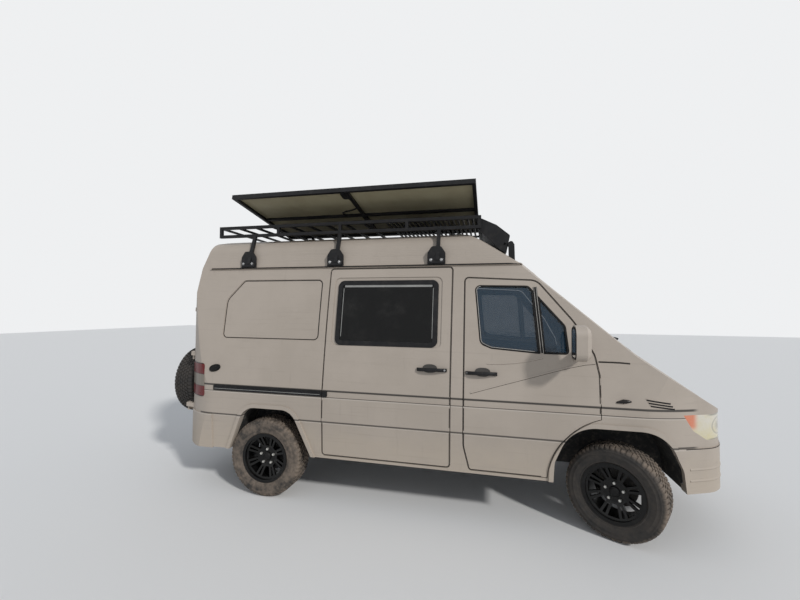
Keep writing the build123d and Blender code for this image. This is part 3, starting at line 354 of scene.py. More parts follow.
looks = {
    "paint": vanPaint("vanPaint"),
    "roofPaint": vanPaint("vanPaintRibbed", ribbed=True),
    "plastic": plainCoat("blackPlastic", (0.008, 0.008, 0.009), 0.50, 700, 0.25, dusty=0.06, shine=0.22),
    "liner": plainCoat("archLiner", (0.018, 0.018, 0.018), 0.8, 300, 0.4, dusty=0.4),
    "powder": plainCoat("rackPowderCoat", (0.007, 0.007, 0.008), 0.42, 1200, 0.2, dusty=0.05, shine=0.25),
    "rim": plainCoat("rimBlack", (0.002, 0.002, 0.002), 0.30, 900, 0.15, dusty=0.03, shine=0.3),
    # black strips of painted shade in the gaps, creases and seams, with a little dust
    "shadeAndGrime": plainCoat("seamShade", (0.030, 0.026, 0.023), 0.85, 300, 0.2, dusty=0.15, shine=0.15),
    # black for painted shade in the vents' slots and in the grille's gaps
    "shadeBlack": plainCoat("paintedShadeBlack", (0.002, 0.002, 0.002), 0.9, 300, 0.1),
    "cast": plainCoat("castIron", (0.075, 0.07, 0.066), 0.7, 350, 0.5, dusty=0.5, metallic=0.5),
    "chassis": plainCoat("chassisPaint", (0.035, 0.034, 0.033), 0.7, 420, 0.4, dusty=0.55),
    "steel": plainCoat("exhaustSteel", (0.22, 0.20, 0.18), 0.5, 260, 0.35, dusty=0.35, metallic=0.8),
    "dash": plainCoat("dashPlastic", (0.055, 0.060, 0.068), 0.62, 1500, 0.3, dusty=0.05),
    "frameBlack": plainCoat("panelFrameBlack", (0.008, 0.008, 0.009), 0.36, 1500, 0.1, dusty=0.05, shine=0.25),
    "nut": plainCoat("nutSteel", (0.55, 0.54, 0.50), 0.28, 800, 0.1, dusty=0.05, metallic=0.6),
    # the dark blue of this tint is partly painted reflection of a blue sky
    "glass": windowGlass("cabGlass", (0.012, 0.038, 0.066), cover=0.56, shine=0.6),
    "pane": windowGlass("smokedPane", (0.004, 0.004, 0.004), cover=0.93, shine=0.22),
    "lens": lampLens("lampLens"),
    "tail": tailLens("tailLens"),
    "rubber": tyreRubber("tyreRubber", wall=0.75, crown=0.90),
    # the front tyres' walls are kept dark as painted shade under the wheel arches
    "shadedFrontRubber": tyreRubber("shadedFrontRubber", wall=0.16, crown=0.85),
    "spareRubber": tyreRubber("spareRubber", wall=0.04, crown=0.10),
    "solar": solarSheet("solarSheet"),
    "cloth": seatCloth("seatCloth"),
    "seal": plainCoat("windowSeal", (0.006, 0.006, 0.006), 0.62, 600, 0.2, dusty=0.06, shine=0.2),
    # pale strips that paint the highlight along the cab window seals' lips
    "bead": plainCoat("sealHighlight", (0.42, 0.40, 0.37), 0.35, 900, 0.1, dusty=0.12, metallic=0.3),
    # near black for the handle cups: painted shade in the hollow behind each grip, with a little dust
    "cup": plainCoat("handleCup", (0.055, 0.050, 0.045), 0.6, 700, 0.2, dusty=0.15),
    "smoked": plainCoat("smokedLens", (0.008, 0.006, 0.006), 0.22, 1500, 0.05, dusty=0.05, shine=0.3),
    "rail": plainCoat("trackAlloy", (0.26, 0.26, 0.25), 0.38, 900, 0.1, dusty=0.15, metallic=0.6),
    "bolt": plainCoat("boltSteel", (0.33, 0.33, 0.33), 0.32, 900, 0.1, dusty=0.06, metallic=0.9),
    "belt": plainCoat("beltWebbing", (0.030, 0.031, 0.034), 0.75, 1400, 0.4, dusty=0.02),
    "mirrorGlass": plainCoat("mirrorGlass", (0.55, 0.58, 0.60), 0.03, 4, 0.01, dusty=0.05, metallic=1.0),
    "mirrorShell": mirrorCoat("mirrorShell"),
}
print("finishes made:", len(looks))

# which finish each piece of the frame wears, by the longest start of its name that is listed
wears = {
    "front_bumper": "paint",
    "front_wing": "paint",
    "front_axle": "chassis",
    "nose_panel": "paint",
    "bonnet": "paint",
    "cowl": "paint",
    "headlamps": "lens",
    "grille": "plastic",
    "body_side": "paint",
    "roof_rack": "powder",
    "roof": "roofPaint",
    "sliding_door": "paint",
    "windscreen": "glass",
    "cab_door": "paint",
    "cab_glass": "glass",
    "cab_seats": "cloth",
    "rear_door": "paint",
    "rear_glass": "pane",
    "window_frames": "plastic",
    "window_panes": "pane",
    "rear_bumper": "paint",
    "tail_lamps": "tail",
    "slide_rail": "plastic",
    "floor_frame": "chassis",
    "wheel_housings": "liner",
    "tyre": "rubber",
    "rim": "rim",
    "knuckle": "cast",
    "engine_block": "cast",
    "rear_axle": "chassis",
    "exhaust": "steel",
    "fuel_tank": "chassis",
    "dashboard": "dash",
    "panel_frame": "frameBlack",
    "panel_sheet": "solar",
    "mirror": "mirrorShell",
    "spare_tyre": "spareRubber",
    "spare_rim": "rim",
    "spare_carrier": "powder",
}
for nodeName, piece in nodes.items():
    start = max((key for key in wears if nodeName.startswith(key)), key=len)
    piece.data.materials.clear()
    piece.data.materials.append(looks[wears[start]])
print("finishes on the frame")

# shapes that the pieces are made from: each is a list of points and a list of faces
surfaces = {}


def meets(nodeNames, start, way):
    # where a straight line first meets one of these pieces of the frame, and which way the surface faces there
    if nodeNames not in surfaces:
        corners, faces = [], []
        for nodeName in nodeNames.split():
            mesh = nodes[nodeName].data
            first = len(corners)
            corners += [vertex.co.copy() for vertex in mesh.vertices]
            faces += [[first + corner for corner in face.vertices] for face in mesh.polygons]
        surfaces[nodeNames] = BVHTree.FromPolygons(corners, faces)
    place, facing, face, distance = surfaces[nodeNames].ray_cast(Vector(start), Vector(way))
    if place is None:
        raise ValueError("no surface of " + nodeNames + " at " + str(start))
    return place, facing if facing.dot(Vector(way)) < 0 else -facing


def onSide(nodeNames, x, z, side):
    return meets(nodeNames, (x, side * 2, z), (0, -side, 0))


def loft(rings, looped=False):
    count = len(rings[0])
    points = [point for ring in rings for point in ring]
    faces = []
    for row in range(len(rings) if looped else len(rings) - 1):
        near, far = row * count, (row + 1) % len(rings) * count
        for step in range(count):
            after = (step + 1) % count
            faces.append((near + step, near + after, far + after, far + step))
    if not looped:
        faces.append(tuple(reversed(range(count))))
        faces.append(tuple(range((len(rings) - 1) * count, len(rings) * count)))
    return points, faces


def together(shapes):
    points, faces = [], []
    for morePoints, moreFaces in shapes:
        start = len(points)
        points += morePoints
        faces += [tuple(start + corner for corner in face) for face in moreFaces]
    return points, faces


def moved(shape, matrix):
    return [matrix @ Vector(point) for point in shape[0]], shape[1]


def oval(halfWidth, halfHeight, squareness=2.0, steps=20):
    # a round or rounded-square outline in two dimensions
    power = 2 / squareness
    ring = []
    for step in range(steps):
        turn = 2 * pi * (step + 0.5) / steps
        across, up = cos(turn), sin(turn)
        ring.append((
            halfWidth * abs(across) ** power * (1 if across > 0 else -1),
            halfHeight * abs(up) ** power * (1 if up > 0 else -1),
        ))
    return ring


def rounded(corners, steps):
    # a closed outline from corners (across, up, radius)
    outline = []
    for place, (across, up, radius) in enumerate(corners):
        corner = Vector((across, up))
        before = Vector(corners[place - 1][:2]) - corner
        after = Vector(corners[(place + 1) % len(corners)][:2]) - corner
        half = before.angle(after) / 2
        reach = min(radius / tan(half), 0.48 * before.length, 0.48 * after.length)
        if reach < 0.0005:
            outline.append(corner)
            continue
        start = corner + before.normalized() * reach
        centre = corner + (before.normalized() + after.normalized()).normalized() * reach / cos(half)
        arm = start - centre
        turn = pi - 2 * half
        if before.cross(after) > 0:
            turn = -turn
        for step in range(steps + 1):
            outline.append(centre + Matrix.Rotation(turn * step / steps, 2) @ arm)
    return outline


def spaced(outline, step):
    # the same closed outline with no two points further apart than step
    points = []
    for place, point in enumerate(outline):
        after = outline[(place + 1) % len(outline)]
        parts = max(1, round((after - point).length / step))
        points += [point.lerp(after, part / parts) for part in range(parts)]
    return points


def along(line, step=0.05):
    # an open line with no two points further apart than step
    points = []
    for near, far in zip(line, line[1:]):
        near, far = Vector(near), Vector(far)
        parts = max(1, round((far - near).length / step))
        points += [near.lerp(far, part / parts) for part in range(parts)]
    return points + [Vector(line[-1])]


def inset(outline, amount):
    # the same closed outline, moved inwards
    centre = sum(outline, Vector((0, 0))) / len(outline)
    inner = []
    for place, point in enumerate(outline):
        run = outline[(place + 1) % len(outline)] - outline[place - 1]
        side = Vector((-run.y, run.x)).normalized()
        inner.append(point + (side if side.dot(centre - point) > 0 else -side) * amount)
    return inner


def atAxle(corners):
    return [(frontAxleX + corner[0],) + tuple(corner[1:]) for corner in corners]


def sweep(path, ups, section, looped=False):
    # a section carried along a path, standing on the surface whose directions are given
    rings = []
    last = len(path) - 1
    for place, point in enumerate(path):
        before = path[place - 1] if place or looped else point
        after = path[(place + 1) % len(path)] if place < last or looped else point
        side = (after - before).cross(ups[place]).normalized()
        rings.append([point + side * across + ups[place] * up for across, up in section])
    return loft(rings, looped)


def sweepOn(spots, section, looped=False, lift=0.0):
    # the same along spots of a surface: each is a place and the way that the surface faces there
    path = [place + facing * lift for place, facing in spots]
    return sweep(path, [facing for place, facing in spots], section, looped)


def sideStrip(nodeNames, line, side, section, looped=False, lift=0.0):
    # a section carried along (x, z) points on the van's side
    return sweepOn([onSide(nodeNames, x, z, side) for x, z in line], section, looped, lift)


def raised(ring, heart, way, levels):
    # a shallow form over a ring of places: levels are (share of the ring, height), outermost first
    return loft([[heart.lerp(place, share) + way * height for place in ring] for share, height in levels])


def sideForm(nodeNames, outline, side, levels):
    # a low form on the van's side with this (x, z) outline
    middle = sum((Vector(point) for point in outline), Vector((0, 0))) / len(outline)
    heart, facing = onSide(nodeNames, middle.x, middle.y, side)
    return raised([onSide(nodeNames, x, z, side)[0] for x, z in outline], heart, facing, levels)


def bar(width, height, edge):
    # a section that sits on a surface, with its upper corners cut
    half = width / 2
    right = [(half, 0), (half, height - edge), (half - edge, height)]
    return right + [(-across, up) for across, up in reversed(right)]


def tube(radius, steps=8):
    return oval(radius, radius, 2.0, steps)


def latheY(profile, steps):
    # a closed round form about the Y axis from (radius, y) points
    ways = [2 * pi * step / steps for step in range(steps)]
    return loft([[Vector((radius * cos(turn), y, radius * sin(turn))) for turn in ways] for radius, y in profile])


def newMesh(name, shape, sharp):
    # faces look outwards and are smooth, but for the edges sharper than this angle
    mesh = bpy.data.meshes.new(name)
    mesh.from_pydata([tuple(point) for point in shape[0]], [], shape[1])
    work = bmesh.new()
    work.from_mesh(mesh)
    bmesh.ops.recalc_face_normals(work, faces=work.faces)
    work.to_mesh(mesh)
    work.free()
    mesh.shade_smooth()
    mesh.set_sharp_from_angle(angle=radians(sharp))
    return mesh


def setDown(name, mesh, body, matrix=Matrix()):
    piece = bpy.data.objects.new(name, mesh)
    piece.matrix_world = matrix
    scene.collection.objects.link(piece)
    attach(piece, body)
    return piece


def make(name, shape, look, body, sharp=32):
    mesh = newMesh(name, shape, sharp)
    mesh.materials.append(looks[look])
    return setDown(name, mesh, body)


# tyres: a smooth carcass with rings on its walls and an all-terrain tread, about the wheel's own axle
tyreForm = {
    # half of the carcass, from the bead to the middle of the tread, as (across, radius)
    "wall": (
        (0.0995, 0.2065), (0.1010, 0.2200), (0.1060, 0.2290), (0.1095, 0.2330), (0.1098, 0.2370), (0.1085, 0.2400),
        (0.1110, 0.2480), (0.1135, 0.2620), (0.1150, 0.2780), (0.1160, 0.2800), (0.1160, 0.2850), (0.1152, 0.2870),
        (0.1152, 0.2960), (0.1142, 0.3060), (0.1150, 0.3075), (0.1146, 0.3110), (0.1120, 0.3180), (0.1060, 0.3290),
        (0.0980, 0.3370), (0.0880, 0.3405), (0.0600, 0.3412), (0.0300, 0.3415), (0.0, 0.3415),
    ),
    # top of the tread and round its shoulder, as (across, radius, way outwards, way up)
    "shoulder": (
        (0.0, 0.3496, 0.0, 1.0), (0.085, 0.3486, 0.12, 0.99), (0.0985, 0.3432, 0.45, 0.89),
        (0.1085, 0.3330, 0.75, 0.66), (0.1128, 0.3220, 0.95, 0.31), (0.2, 0.2, 1.0, 0.0),
    ),
    # tread blocks on one half, as (across, low, high): low and high are shares of a pitch
    "blocks": (
        ((0.0035, 0.16, 0.66), (0.0150, 0.02, 0.70), (0.0245, 0.12, 0.60)),
        ((0.0305, 0.40, 0.98), (0.0430, 0.50, 1.16), (0.0545, 0.60, 1.12)),
        ((0.0605, 0.02, 0.66), (0.0850, 0.06, 0.76), (0.0985, 0.06, 0.76), (0.1085, 0.08, 0.74),
         (0.1128, 0.12, 0.68)),
    ),
    "radius": 0.35,
    "turns": 96,
    "pitches": 58,
    "root": -0.010,  # how deep a block stands in the carcass
    "edge": 0.0012,  # how much of its upper edge is cut
}


def treadSpot(across):
    # the top of the tread at a distance from its middle: radius, and the way that it faces
    shoulder = tyreForm["shoulder"]
    for low, high in zip(shoulder, shoulder[1:]):
        if across <= high[0]:
            share = (across - low[0]) / (high[0] - low[0])
            return [low[part] + (high[part] - low[part]) * share for part in (1, 2, 3)]


def treadBlock(stations, mirror, start, pitch):
    edge = tyreForm["edge"]
    last = len(stations) - 1
    rings = []
    for drop, cut in ((tyreForm["root"], 0.0), (-edge, 0.0), (0.0, edge)):
        lows, highs = [], []
        for number, (across, low, high) in enumerate(stations):
            radius, outward, upward = treadSpot(across)
            slide = cut if number == 0 else -cut if number == last else 0.0
            reach = (across + slide + outward * drop) * mirror
            height = radius + upward * drop
            for share, row, trim in ((low, lows, cut), (high, highs, -cut)):
                turn = start + share * pitch + trim / tyreForm["radius"]
                row.append(Vector((height * sin(turn), reach, height * cos(turn))))
        rings.append(lows + highs[::-1])
    count = len(stations) * 2
    faces = []
    for low, high in ((0, count), (count, 2 * count)):
        for step in range(count):
            after = (step + 1) % count
            faces.append((low + step, low + after, high + after, high + step))
    for step in range(last):
        faces.append((2 * count + step, 2 * count + step + 1, 3 * count - 2 - step, 3 * count - 1 - step))
    return [point for ring in rings for point in ring], faces


halfWall = tyreForm["wall"]
wholeWall = [(-across, up) for across, up in halfWall] + list(reversed(halfWall[:-1]))
rings = []
for step in range(tyreForm["turns"]):
    turn = 2 * pi * step / tyreForm["turns"]
    rings.append([Vector((up * sin(turn), across, up * cos(turn))) for across, up in wholeWall])
shapes = [loft(rings, looped=True)]
pitch = 2 * pi / tyreForm["pitches"]
for step in range(tyreForm["pitches"]):
    for mirror, shift in ((1, 0.0), (-1, 0.5)):
        for stations in tyreForm["blocks"]:
            shapes.append(treadBlock(stations, mirror, (step + shift) * pitch, pitch))
tyreMesh = newMesh("tyreMesh", together(shapes), 38)
tyreMeshes = {}
for wheelSet, look in (("rear", "rubber"), ("front", "shadedFrontRubber"), ("spare", "spareRubber")):
    tyreMeshes[wheelSet] = tyreMesh.copy()
    tyreMeshes[wheelSet].materials.append(looks[look])
print("tyre faces", len(tyreMesh.polygons))

# wheel nuts, centre cap and valve, in the same frame as the tyre: the wheel's face looks along -Y
wheelForm = {
    "face": -0.049,
    "nuts": 5,
    "nutCircle": 0.065,
    "nutStart": 18,
    # as (radius, y): the nut and the cap count y from the face
    "nut": ((0.0096, 0.006), (0.0120, 0.001), (0.0120, -0.014), (0.00984, -0.018), (0.0036, -0.020)),
    "cap": ((0.0375, 0.012), (0.0375, -0.004), (0.03525, -0.010), (0.0300, -0.013),
            (0.02775, -0.012), (0.02475, -0.0145), (0.0075, -0.016)),
    "valve": ((0.004, 0), (0.004, -0.03), (0.005, -0.031), (0.005, -0.042), (0.002, -0.043)),
    "valvePlace": (0, -0.062, 0.186),
}
shapes = []
face = wheelForm["face"]
nut = latheY([(radius, face + y) for radius, y in wheelForm["nut"]], 6)
for step in range(wheelForm["nuts"]):
    turn = radians(wheelForm["nutStart"] + 360 / wheelForm["nuts"] * step)
    centre = Vector((wheelForm["nutCircle"] * cos(turn), 0, wheelForm["nutCircle"] * sin(turn)))
    shapes.append(moved(nut, Matrix.Translation(centre)))
nutShape = together(shapes)
valve = moved(latheY(wheelForm["valve"], 10), Matrix.Translation(wheelForm["valvePlace"]))
capShape = together([latheY([(radius, face + y) for radius, y in wheelForm["cap"]], 36), valve])

# each wheel: the body that it rides on, its centre, and which way its face is turned
wheelPlaces = {
    "front_right": ("wheel_front_right", (frontAxleX - 0.0465, -0.82554, 0.35), -30),
    "front_left": ("wheel_front_left", (frontAxleX + 0.0465, 0.82554, 0.35), 150),
    "rear_right": ("wheel_rear_right", (rearAxleX, -0.838, 0.35), 0),
    "rear_left": ("wheel_rear_left", (rearAxleX, 0.838, 0.35), 180),
    "spare": ("rear_door_right_body", (frontAxleX - 4.067, -0.42, 0.94), -90),
}
for wheelName, (body, centre, turn) in wheelPlaces.items():
    stands = Matrix.Translation(centre) @ Matrix.Rotation(radians(turn), 4, "Z")
    tyre = setDown("treaded_tyre_" + wheelName, tyreMeshes[wheelName.split("_")[0]], body, stands)
    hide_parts("spare_tyre" if wheelName == "spare" else "tyre_" + wheelName)
    make("wheel_nuts_" + wheelName, moved(nutShape, stands), "nut", body)
    make("wheel_cap_" + wheelName, moved(capShape, stands), "rim", body)
print("wheels dressed")

# cab windows: a black seal round each, a pale strip on it as painted highlight along the seal's lip, and black
# covers on the slim bar
sides = ((-1, "right"), (1, "left"))
cabWindow = {
    "rearPane": atAxle((
        (-0.6095, 1.376, 0.008), (-0.985, 1.404, 0.06), (-1.076, 1.440, 0.06),
        (-1.122, 1.929, 0.045), (-0.690, 1.922, 0.04), (-0.6526, 1.8783, 0.008),
    )),
    "frontPane": atAxle((
        (-0.392, 1.376, 0.03), (-0.5835, 1.376, 0.008), (-0.6237, 1.8444, 0.008), (-0.415, 1.600, 0.06),
    )),
    "bar": atAxle(((-0.5945, 1.384), (-0.6405, 1.908))),
    "inset": 0.0085,
    "seal": bar(0.016, 0.0095, 0.003),
    "cover": bar(0.030, 0.0030, 0.001),
    "lip": tube(0.0024),
    "lipInset": 0.0135,
    "lipLift": 0.0095,
    "barLip": tube(0.0019),
    "barLipShift": 0.0095,
    "barLipLift": 0.0028,
}
paneEdges = [spaced(rounded(cabWindow[pane], 8), 0.03) for pane in ("rearPane", "frontPane")]
sealLines = [inset(edge, cabWindow["inset"]) for edge in paneEdges]
# the pale strip of painted highlight runs along the foot and up the rear edge of the rear pane only
lipLine = [point for point in inset(paneEdges[0], cabWindow["lipInset"])
           if point.x < frontAxleX - 1.05 or (point.y < 1.43 and point.x < frontAxleX - 0.64)]
for side, label in sides:
    door, glass, body = "cab_door_" + label, "cab_glass_" + label, "cab_door_" + label + "_body"
    seals = [sideStrip(glass, line, side, cabWindow["seal"], True) for line in sealLines]
    make("window_seal_" + label, together(seals), "seal", body)
    lip = sideStrip(glass, lipLine, side, cabWindow["lip"], False, cabWindow["lipLift"])
    make("window_lip_highlight_" + label, lip, "bead", body)
    run = along(cabWindow["bar"])
    make("window_bar_" + label, sideStrip(door, run, side, cabWindow["cover"]), "seal", body)
    # pale strips of painted highlight along both edges of the bar
    lips = []
    for shift in (-cabWindow["barLipShift"], cabWindow["barLipShift"]):
        shifted = [(x + shift, z) for x, z in run]
        lips.append(sideStrip(door, shifted, side, cabWindow["barLip"], False, cabWindow["barLipLift"]))
    make("window_bar_lips_" + label, together(lips), "bead", body)
print("cab windows trimmed")

# camper windows: the pale inner frame that shows through the edges of each smoked pane
camperWindow = {
    "rear": frontAxleX - 2.290,
    "front": frontAxleX - 1.470,
    "low": 1.455,
    "high": 1.925,
    "top": bar(0.020, 0.0016, 0.0006),
    "upright": bar(0.006, 0.0016, 0.0006),
}
rear, front, low, high = (camperWindow[part] for part in ("rear", "front", "low", "high"))
for side, label in sides:
    top = along(((rear + 0.01, high), (front - 0.01, high)))
    shapes = [sideStrip("window_panes", top, side, camperWindow["top"])]
    for x in (rear, front):
        upright = along(((x, low + 0.02), (x, high - 0.02)))
        shapes.append(sideStrip("window_panes", upright, side, camperWindow["upright"]))
    make("pane_frame_" + label, together(shapes), "rail", "body")

# inside of the cab doors: a moulded card with an armrest, a pocket and a pull
trimForm = {
    "card": ((-1.140, 0.645, 0.04), (-0.630, 0.645, 0.05), (-0.595, 0.740, 0.06), (-0.430, 0.925, 0.06),
             (-0.265, 0.965, 0.04), (-0.285, 1.270, 0.05), (-0.400, 1.335, 0.05), (-0.960, 1.360, 0.05),
             (-1.150, 1.380, 0.04)),
    "cardLevels": ((1.0, -0.003), (1.0, 0.006), (0.985, 0.010), (0.60, 0.013)),
    "rest": ((-1.060, 1.035, 0.03), (-0.560, 1.045, 0.03), (-0.520, 1.100, 0.03), (-1.060, 1.110, 0.03)),
    "restLevels": ((1.0, 0.006), (1.0, 0.034), (0.96, 0.044), (0.5, 0.047)),
    "pocket": ((-1.080, 0.675, 0.04), (-0.690, 0.675, 0.04), (-0.680, 0.800, 0.03), (-1.080, 0.790, 0.03)),
    "pocketLevels": ((1.0, 0.006), (1.0, 0.030), (0.96, 0.040), (0.5, 0.042)),
    "pull": ((-0.470, 1.190, 0.010), (-0.410, 1.190, 0.010), (-0.410, 1.215, 0.010), (-0.470, 1.215, 0.010)),
    "pullLevels": ((1.0, 0.006), (1.0, 0.018), (0.9, 0.021), (0.4, 0.022)),
}


def cardPart(nodeName, part, side):
    flat = spaced(rounded(atAxle(trimForm[part]), 5), 0.05)
    ring = [meets(nodeName, (point.x, 0, point.y), (0, side, 0))[0] for point in flat]
    heart = sum(ring, Vector((0, 0, 0))) / len(ring)
    return raised(ring, heart, Vector((0, -side, 0)), trimForm[part + "Levels"])


for side, label in sides:
    door, body = "cab_door_" + label, "cab_door_" + label + "_body"
    shapes = [cardPart(door, part, side) for part in ("card", "rest", "pocket")]
    make("door_card_" + label, together(shapes), "dash", body, 40)
    make("door_pull_" + label, cardPart(door, "pull", side), "plastic", body, 40)
print("door cards in")

# door handles: a black grip over a pressed cup that is painted dark as shade in its hollow, with a lock at one end
handleForm = {
    "half": 0.125,  # half the length of the grip
    # side view of the grip, as (share of the half length, height)
    "arch": ((-1.0, 0.004), (-0.97, 0.012), (-0.80, 0.020), (-0.55, 0.031), (-0.25, 0.035), (0.10, 0.035),
             (0.42, 0.031), (0.66, 0.021), (0.78, 0.014), (0.97, 0.012), (1.0, 0.004)),
    "section": oval(0.0145, 0.0065, 3.0, 14),
    "cup": oval(0.062, 0.036, 2.4, 32),
    "cupRise": 0.010,
    "cupLevels": ((1.0, -0.002), (0.98, 0.0032), (0.92, 0.0040), (0.84, 0.0030), (0.6, 0.0016), (0.2, 0.0010)),
    "lock": ((0.0085, 0), (0.0085, 0.004), (0.007225, 0.0052), (0.002975, 0.0050)),  # radius, height
    "lockShare": 0.86,
    "lockLift": 0.017,
}


def putHandle(name, nodeName, body, side, x, z, cupShift, lockEnd):
    middle, facing = onSide(nodeName, x, z, side)
    half = handleForm["half"]
    path = [middle + Vector((share * half, 0, 0)) + facing * out for share, out in handleForm["arch"]]
    grip = sweep(path, [facing] * len(path), handleForm["section"])
    make("handle_" + name, grip, "plastic", body, 50)
    ring = [(x + cupShift + across, z + handleForm["cupRise"] + up) for across, up in handleForm["cup"]]
    cup = sideForm(nodeName, ring, side, handleForm["cupLevels"])
    make("handle_cup_" + name, cup, "cup", body, 60)
    turned = facing.to_track_quat("Y", "Z").to_matrix().to_4x4()
    at = middle + Vector((lockEnd * half * handleForm["lockShare"], 0, 0)) + facing * handleForm["lockLift"]
    lock = moved(latheY(handleForm["lock"], 20), Matrix.Translation(at) @ turned)
    make("handle_lock_" + name, lock, "bolt", body)


putHandle("sliding", "sliding_door", "body", -1, frontAxleX - 1.464, 1.218, -0.017, 1)
for side, label in sides:
    door = "cab_door_" + label
    putHandle("cab_" + label, door, door + "_body", side, frontAxleX - 1.062, 1.207, 0.010, -1)
print("handles on")

# front wings: turn repeaters and three pressed vents on each, with a black strip of painted shade in each vent's
# slot
wingForm = {
    "repeater": atAxle((
        (-0.084, 1.036, 0.008), (-0.080, 1.047, 0.008), (-0.034, 1.066, 0.008),
        (0.000, 1.063, 0.008), (0.034, 1.051, 0.008), (-0.022, 1.035, 0.008),
    )),
    "repeaterLevels": ((1.0, -0.002), (1.0, 0.004), (0.93, 0.0085), (0.7, 0.0125), (0.3, 0.0145)),
    "vents": (
        ((0.120, 1.070), (0.284, 1.047)),
        ((0.133, 1.049), (0.300, 1.026)),
        ((0.146, 1.028), (0.314, 1.007)),
    ),
    "slot": bar(0.0120, 0.0012, 0.0004),
    "lip": bar(0.0065, 0.0042, 0.0028),
    "lipShift": (-0.004, 0.0080),
}
for side, label in sides:
    wing = "front_wing_" + label + " body_side_" + label + " nose_panel bonnet"
    shape = sideForm(wing, rounded(wingForm["repeater"], 4), side, wingForm["repeaterLevels"])
    make("repeater_" + label, shape, "smoked", "body", 55)
    slotShades, lips = [], []
    shiftX, shiftZ = wingForm["lipShift"]
    for vent in wingForm["vents"]:
        line = along(atAxle(vent), 0.02)
        slotShades.append(sideStrip(wing, line, side, wingForm["slot"]))
        lips.append(sideStrip(wing, [(x + shiftX, z + shiftZ) for x, z in line], side, wingForm["lip"]))
    make("vent_slot_shade_" + label, together(slotShades), "shadeBlack", "body")
    make("vent_lips_" + label, together(lips), "paint", "body")
print("wings dressed")

# soft folds pressed into the cab doors below the windows, with a line of painted shade drawn along the foot of each
foldForm = {
    "folds": (
        ((-1.020, 1.290), (-0.900, 1.295), (-0.800, 1.305), (-0.690, 1.325), (-0.590, 1.352)),
        ((-1.150, 1.055), (-0.950, 1.118), (-0.740, 1.183), (-0.539, 1.246), (-0.400, 1.288), (-0.290, 1.315),
         (-0.215, 1.324)),
    ),
    "section": ((0.0030, -0.0006), (0.0022, 0.0016), (0.0006, 0.0024), (-0.0050, 0.0017), (-0.0110, 0.0006),
                (-0.0150, -0.0006)),
    "shadeDrops": (0.006, 0.008),
}
# thin dark lines of painted shade under the folds, in the gaps round the doors, on the pressed quarter panels and
# along the front pillar
shadeLineForm = {
    "fold": bar(0.0120, 0.0007, 0.0003),
    "edge": bar(0.0060, 0.0006, 0.0002),
    "stamp": bar(0.0085, 0.0007, 0.0002),
    "edgeInset": 0.0038,
    "stampInset": 0.010,
    "cabDoor": ((-0.187, 0.909, 0), (-0.531, 0.795, 0.540), (-0.566, 0.433, 0), (-1.156, 0.433, 0.025),
                (-1.203, 0.620, 0.200), (-1.203, 1.996, 0.035), (-0.625, 1.965, 0.110), (-0.354, 1.631, 0.400),
                (-0.215, 1.380, 0.150), (-0.187, 1.230, 0)),
    "slidingDoor": ((-2.434, 0.433, 0.030), (-1.313, 0.433, 0.030), (-1.306, 2.088, 0.030), (-2.430, 2.088, 0.030)),
    "quarter": ((-3.500, 1.427, 0.050), (-2.500, 1.427, 0.050), (-2.500, 1.992, 0.050), (-3.330, 1.992, 0.060),
                (-3.500, 1.800, 0.120)),
    "pillar": ((-0.192, 1.331), (-0.097, 1.331), (-0.042, 1.330), (0.024, 1.326)),
}


def shadeLine(part, step, amount):
    return inset(spaced(rounded(atAxle(shadeLineForm[part]), 8), step), amount)


for side, label in sides:
    door = "cab_door_" + label
    section = [(across * side, up) for across, up in foldForm["section"]]
    shapes = [sideStrip(door, along(atAxle(fold), 0.04), side, section) for fold in foldForm["folds"]]
    make("door_folds_" + label, together(shapes), "paint", door + "_body", 60)
for side, label in sides:
    door = "cab_door_" + label
    shapes = []
    for fold, drop in zip(foldForm["folds"], foldForm["shadeDrops"]):
        line = along(atAxle([(x, z - drop) for x, z in fold]), 0.04)
        shapes.append(sideStrip(door, line, side, shadeLineForm["fold"]))
    # the painted shade stops where the wheel arch runs along the door's edge
    edge = [point for point in shadeLine("cabDoor", 0.04, shadeLineForm["edgeInset"])
            if point.x < frontAxleX - 0.60 or point.y > 0.93]
    shapes.append(sideStrip(door, edge, side, shadeLineForm["edge"]))
    make("door_seams_" + label, together(shapes), "shadeAndGrime", door + "_body")
    sideName = "body_side_" + label + " front_wing_" + label
    stamp = shadeLine("quarter", 0.05, shadeLineForm["stampInset"])
    pillar = along(atAxle(shadeLineForm["pillar"]), 0.03)
    shapes = [sideStrip(sideName, stamp, side, shadeLineForm["stamp"], True),
              sideStrip(sideName + " cowl", pillar, side, shadeLineForm["fold"])]
    if label == "right":
        edge = shadeLine("slidingDoor", 0.05, shadeLineForm["edgeInset"])
        shapes.append(sideStrip("sliding_door", edge, side, shadeLineForm["edge"], True))
    make("side_seams_" + label, together(shapes), "shadeAndGrime", "body")
print("seams drawn")

# the tilted oval fitting low on the right rear side
fittingForm = {
    "place": (frontAxleX - 3.540, 1.148),
    "outline": oval(0.060, 0.033, 2.2, 40),
    "turn": 15,
    "levels": ((1.0, -0.002), (1.0, 0.006), (0.94, 0.010), (0.82, 0.0105), (0.78, 0.006), (0.74, 0.006),
               (0.70, 0.009), (0.3, 0.0115)),
}
turning = Matrix.Rotation(radians(fittingForm["turn"]), 2)
ring = [turning @ Vector(point) + Vector(fittingForm["place"]) for point in fittingForm["outline"]]
shape = sideForm("body_side_right", ring, -1, fittingForm["levels"])
make("side_fitting", shape, "seal", "body", 30)

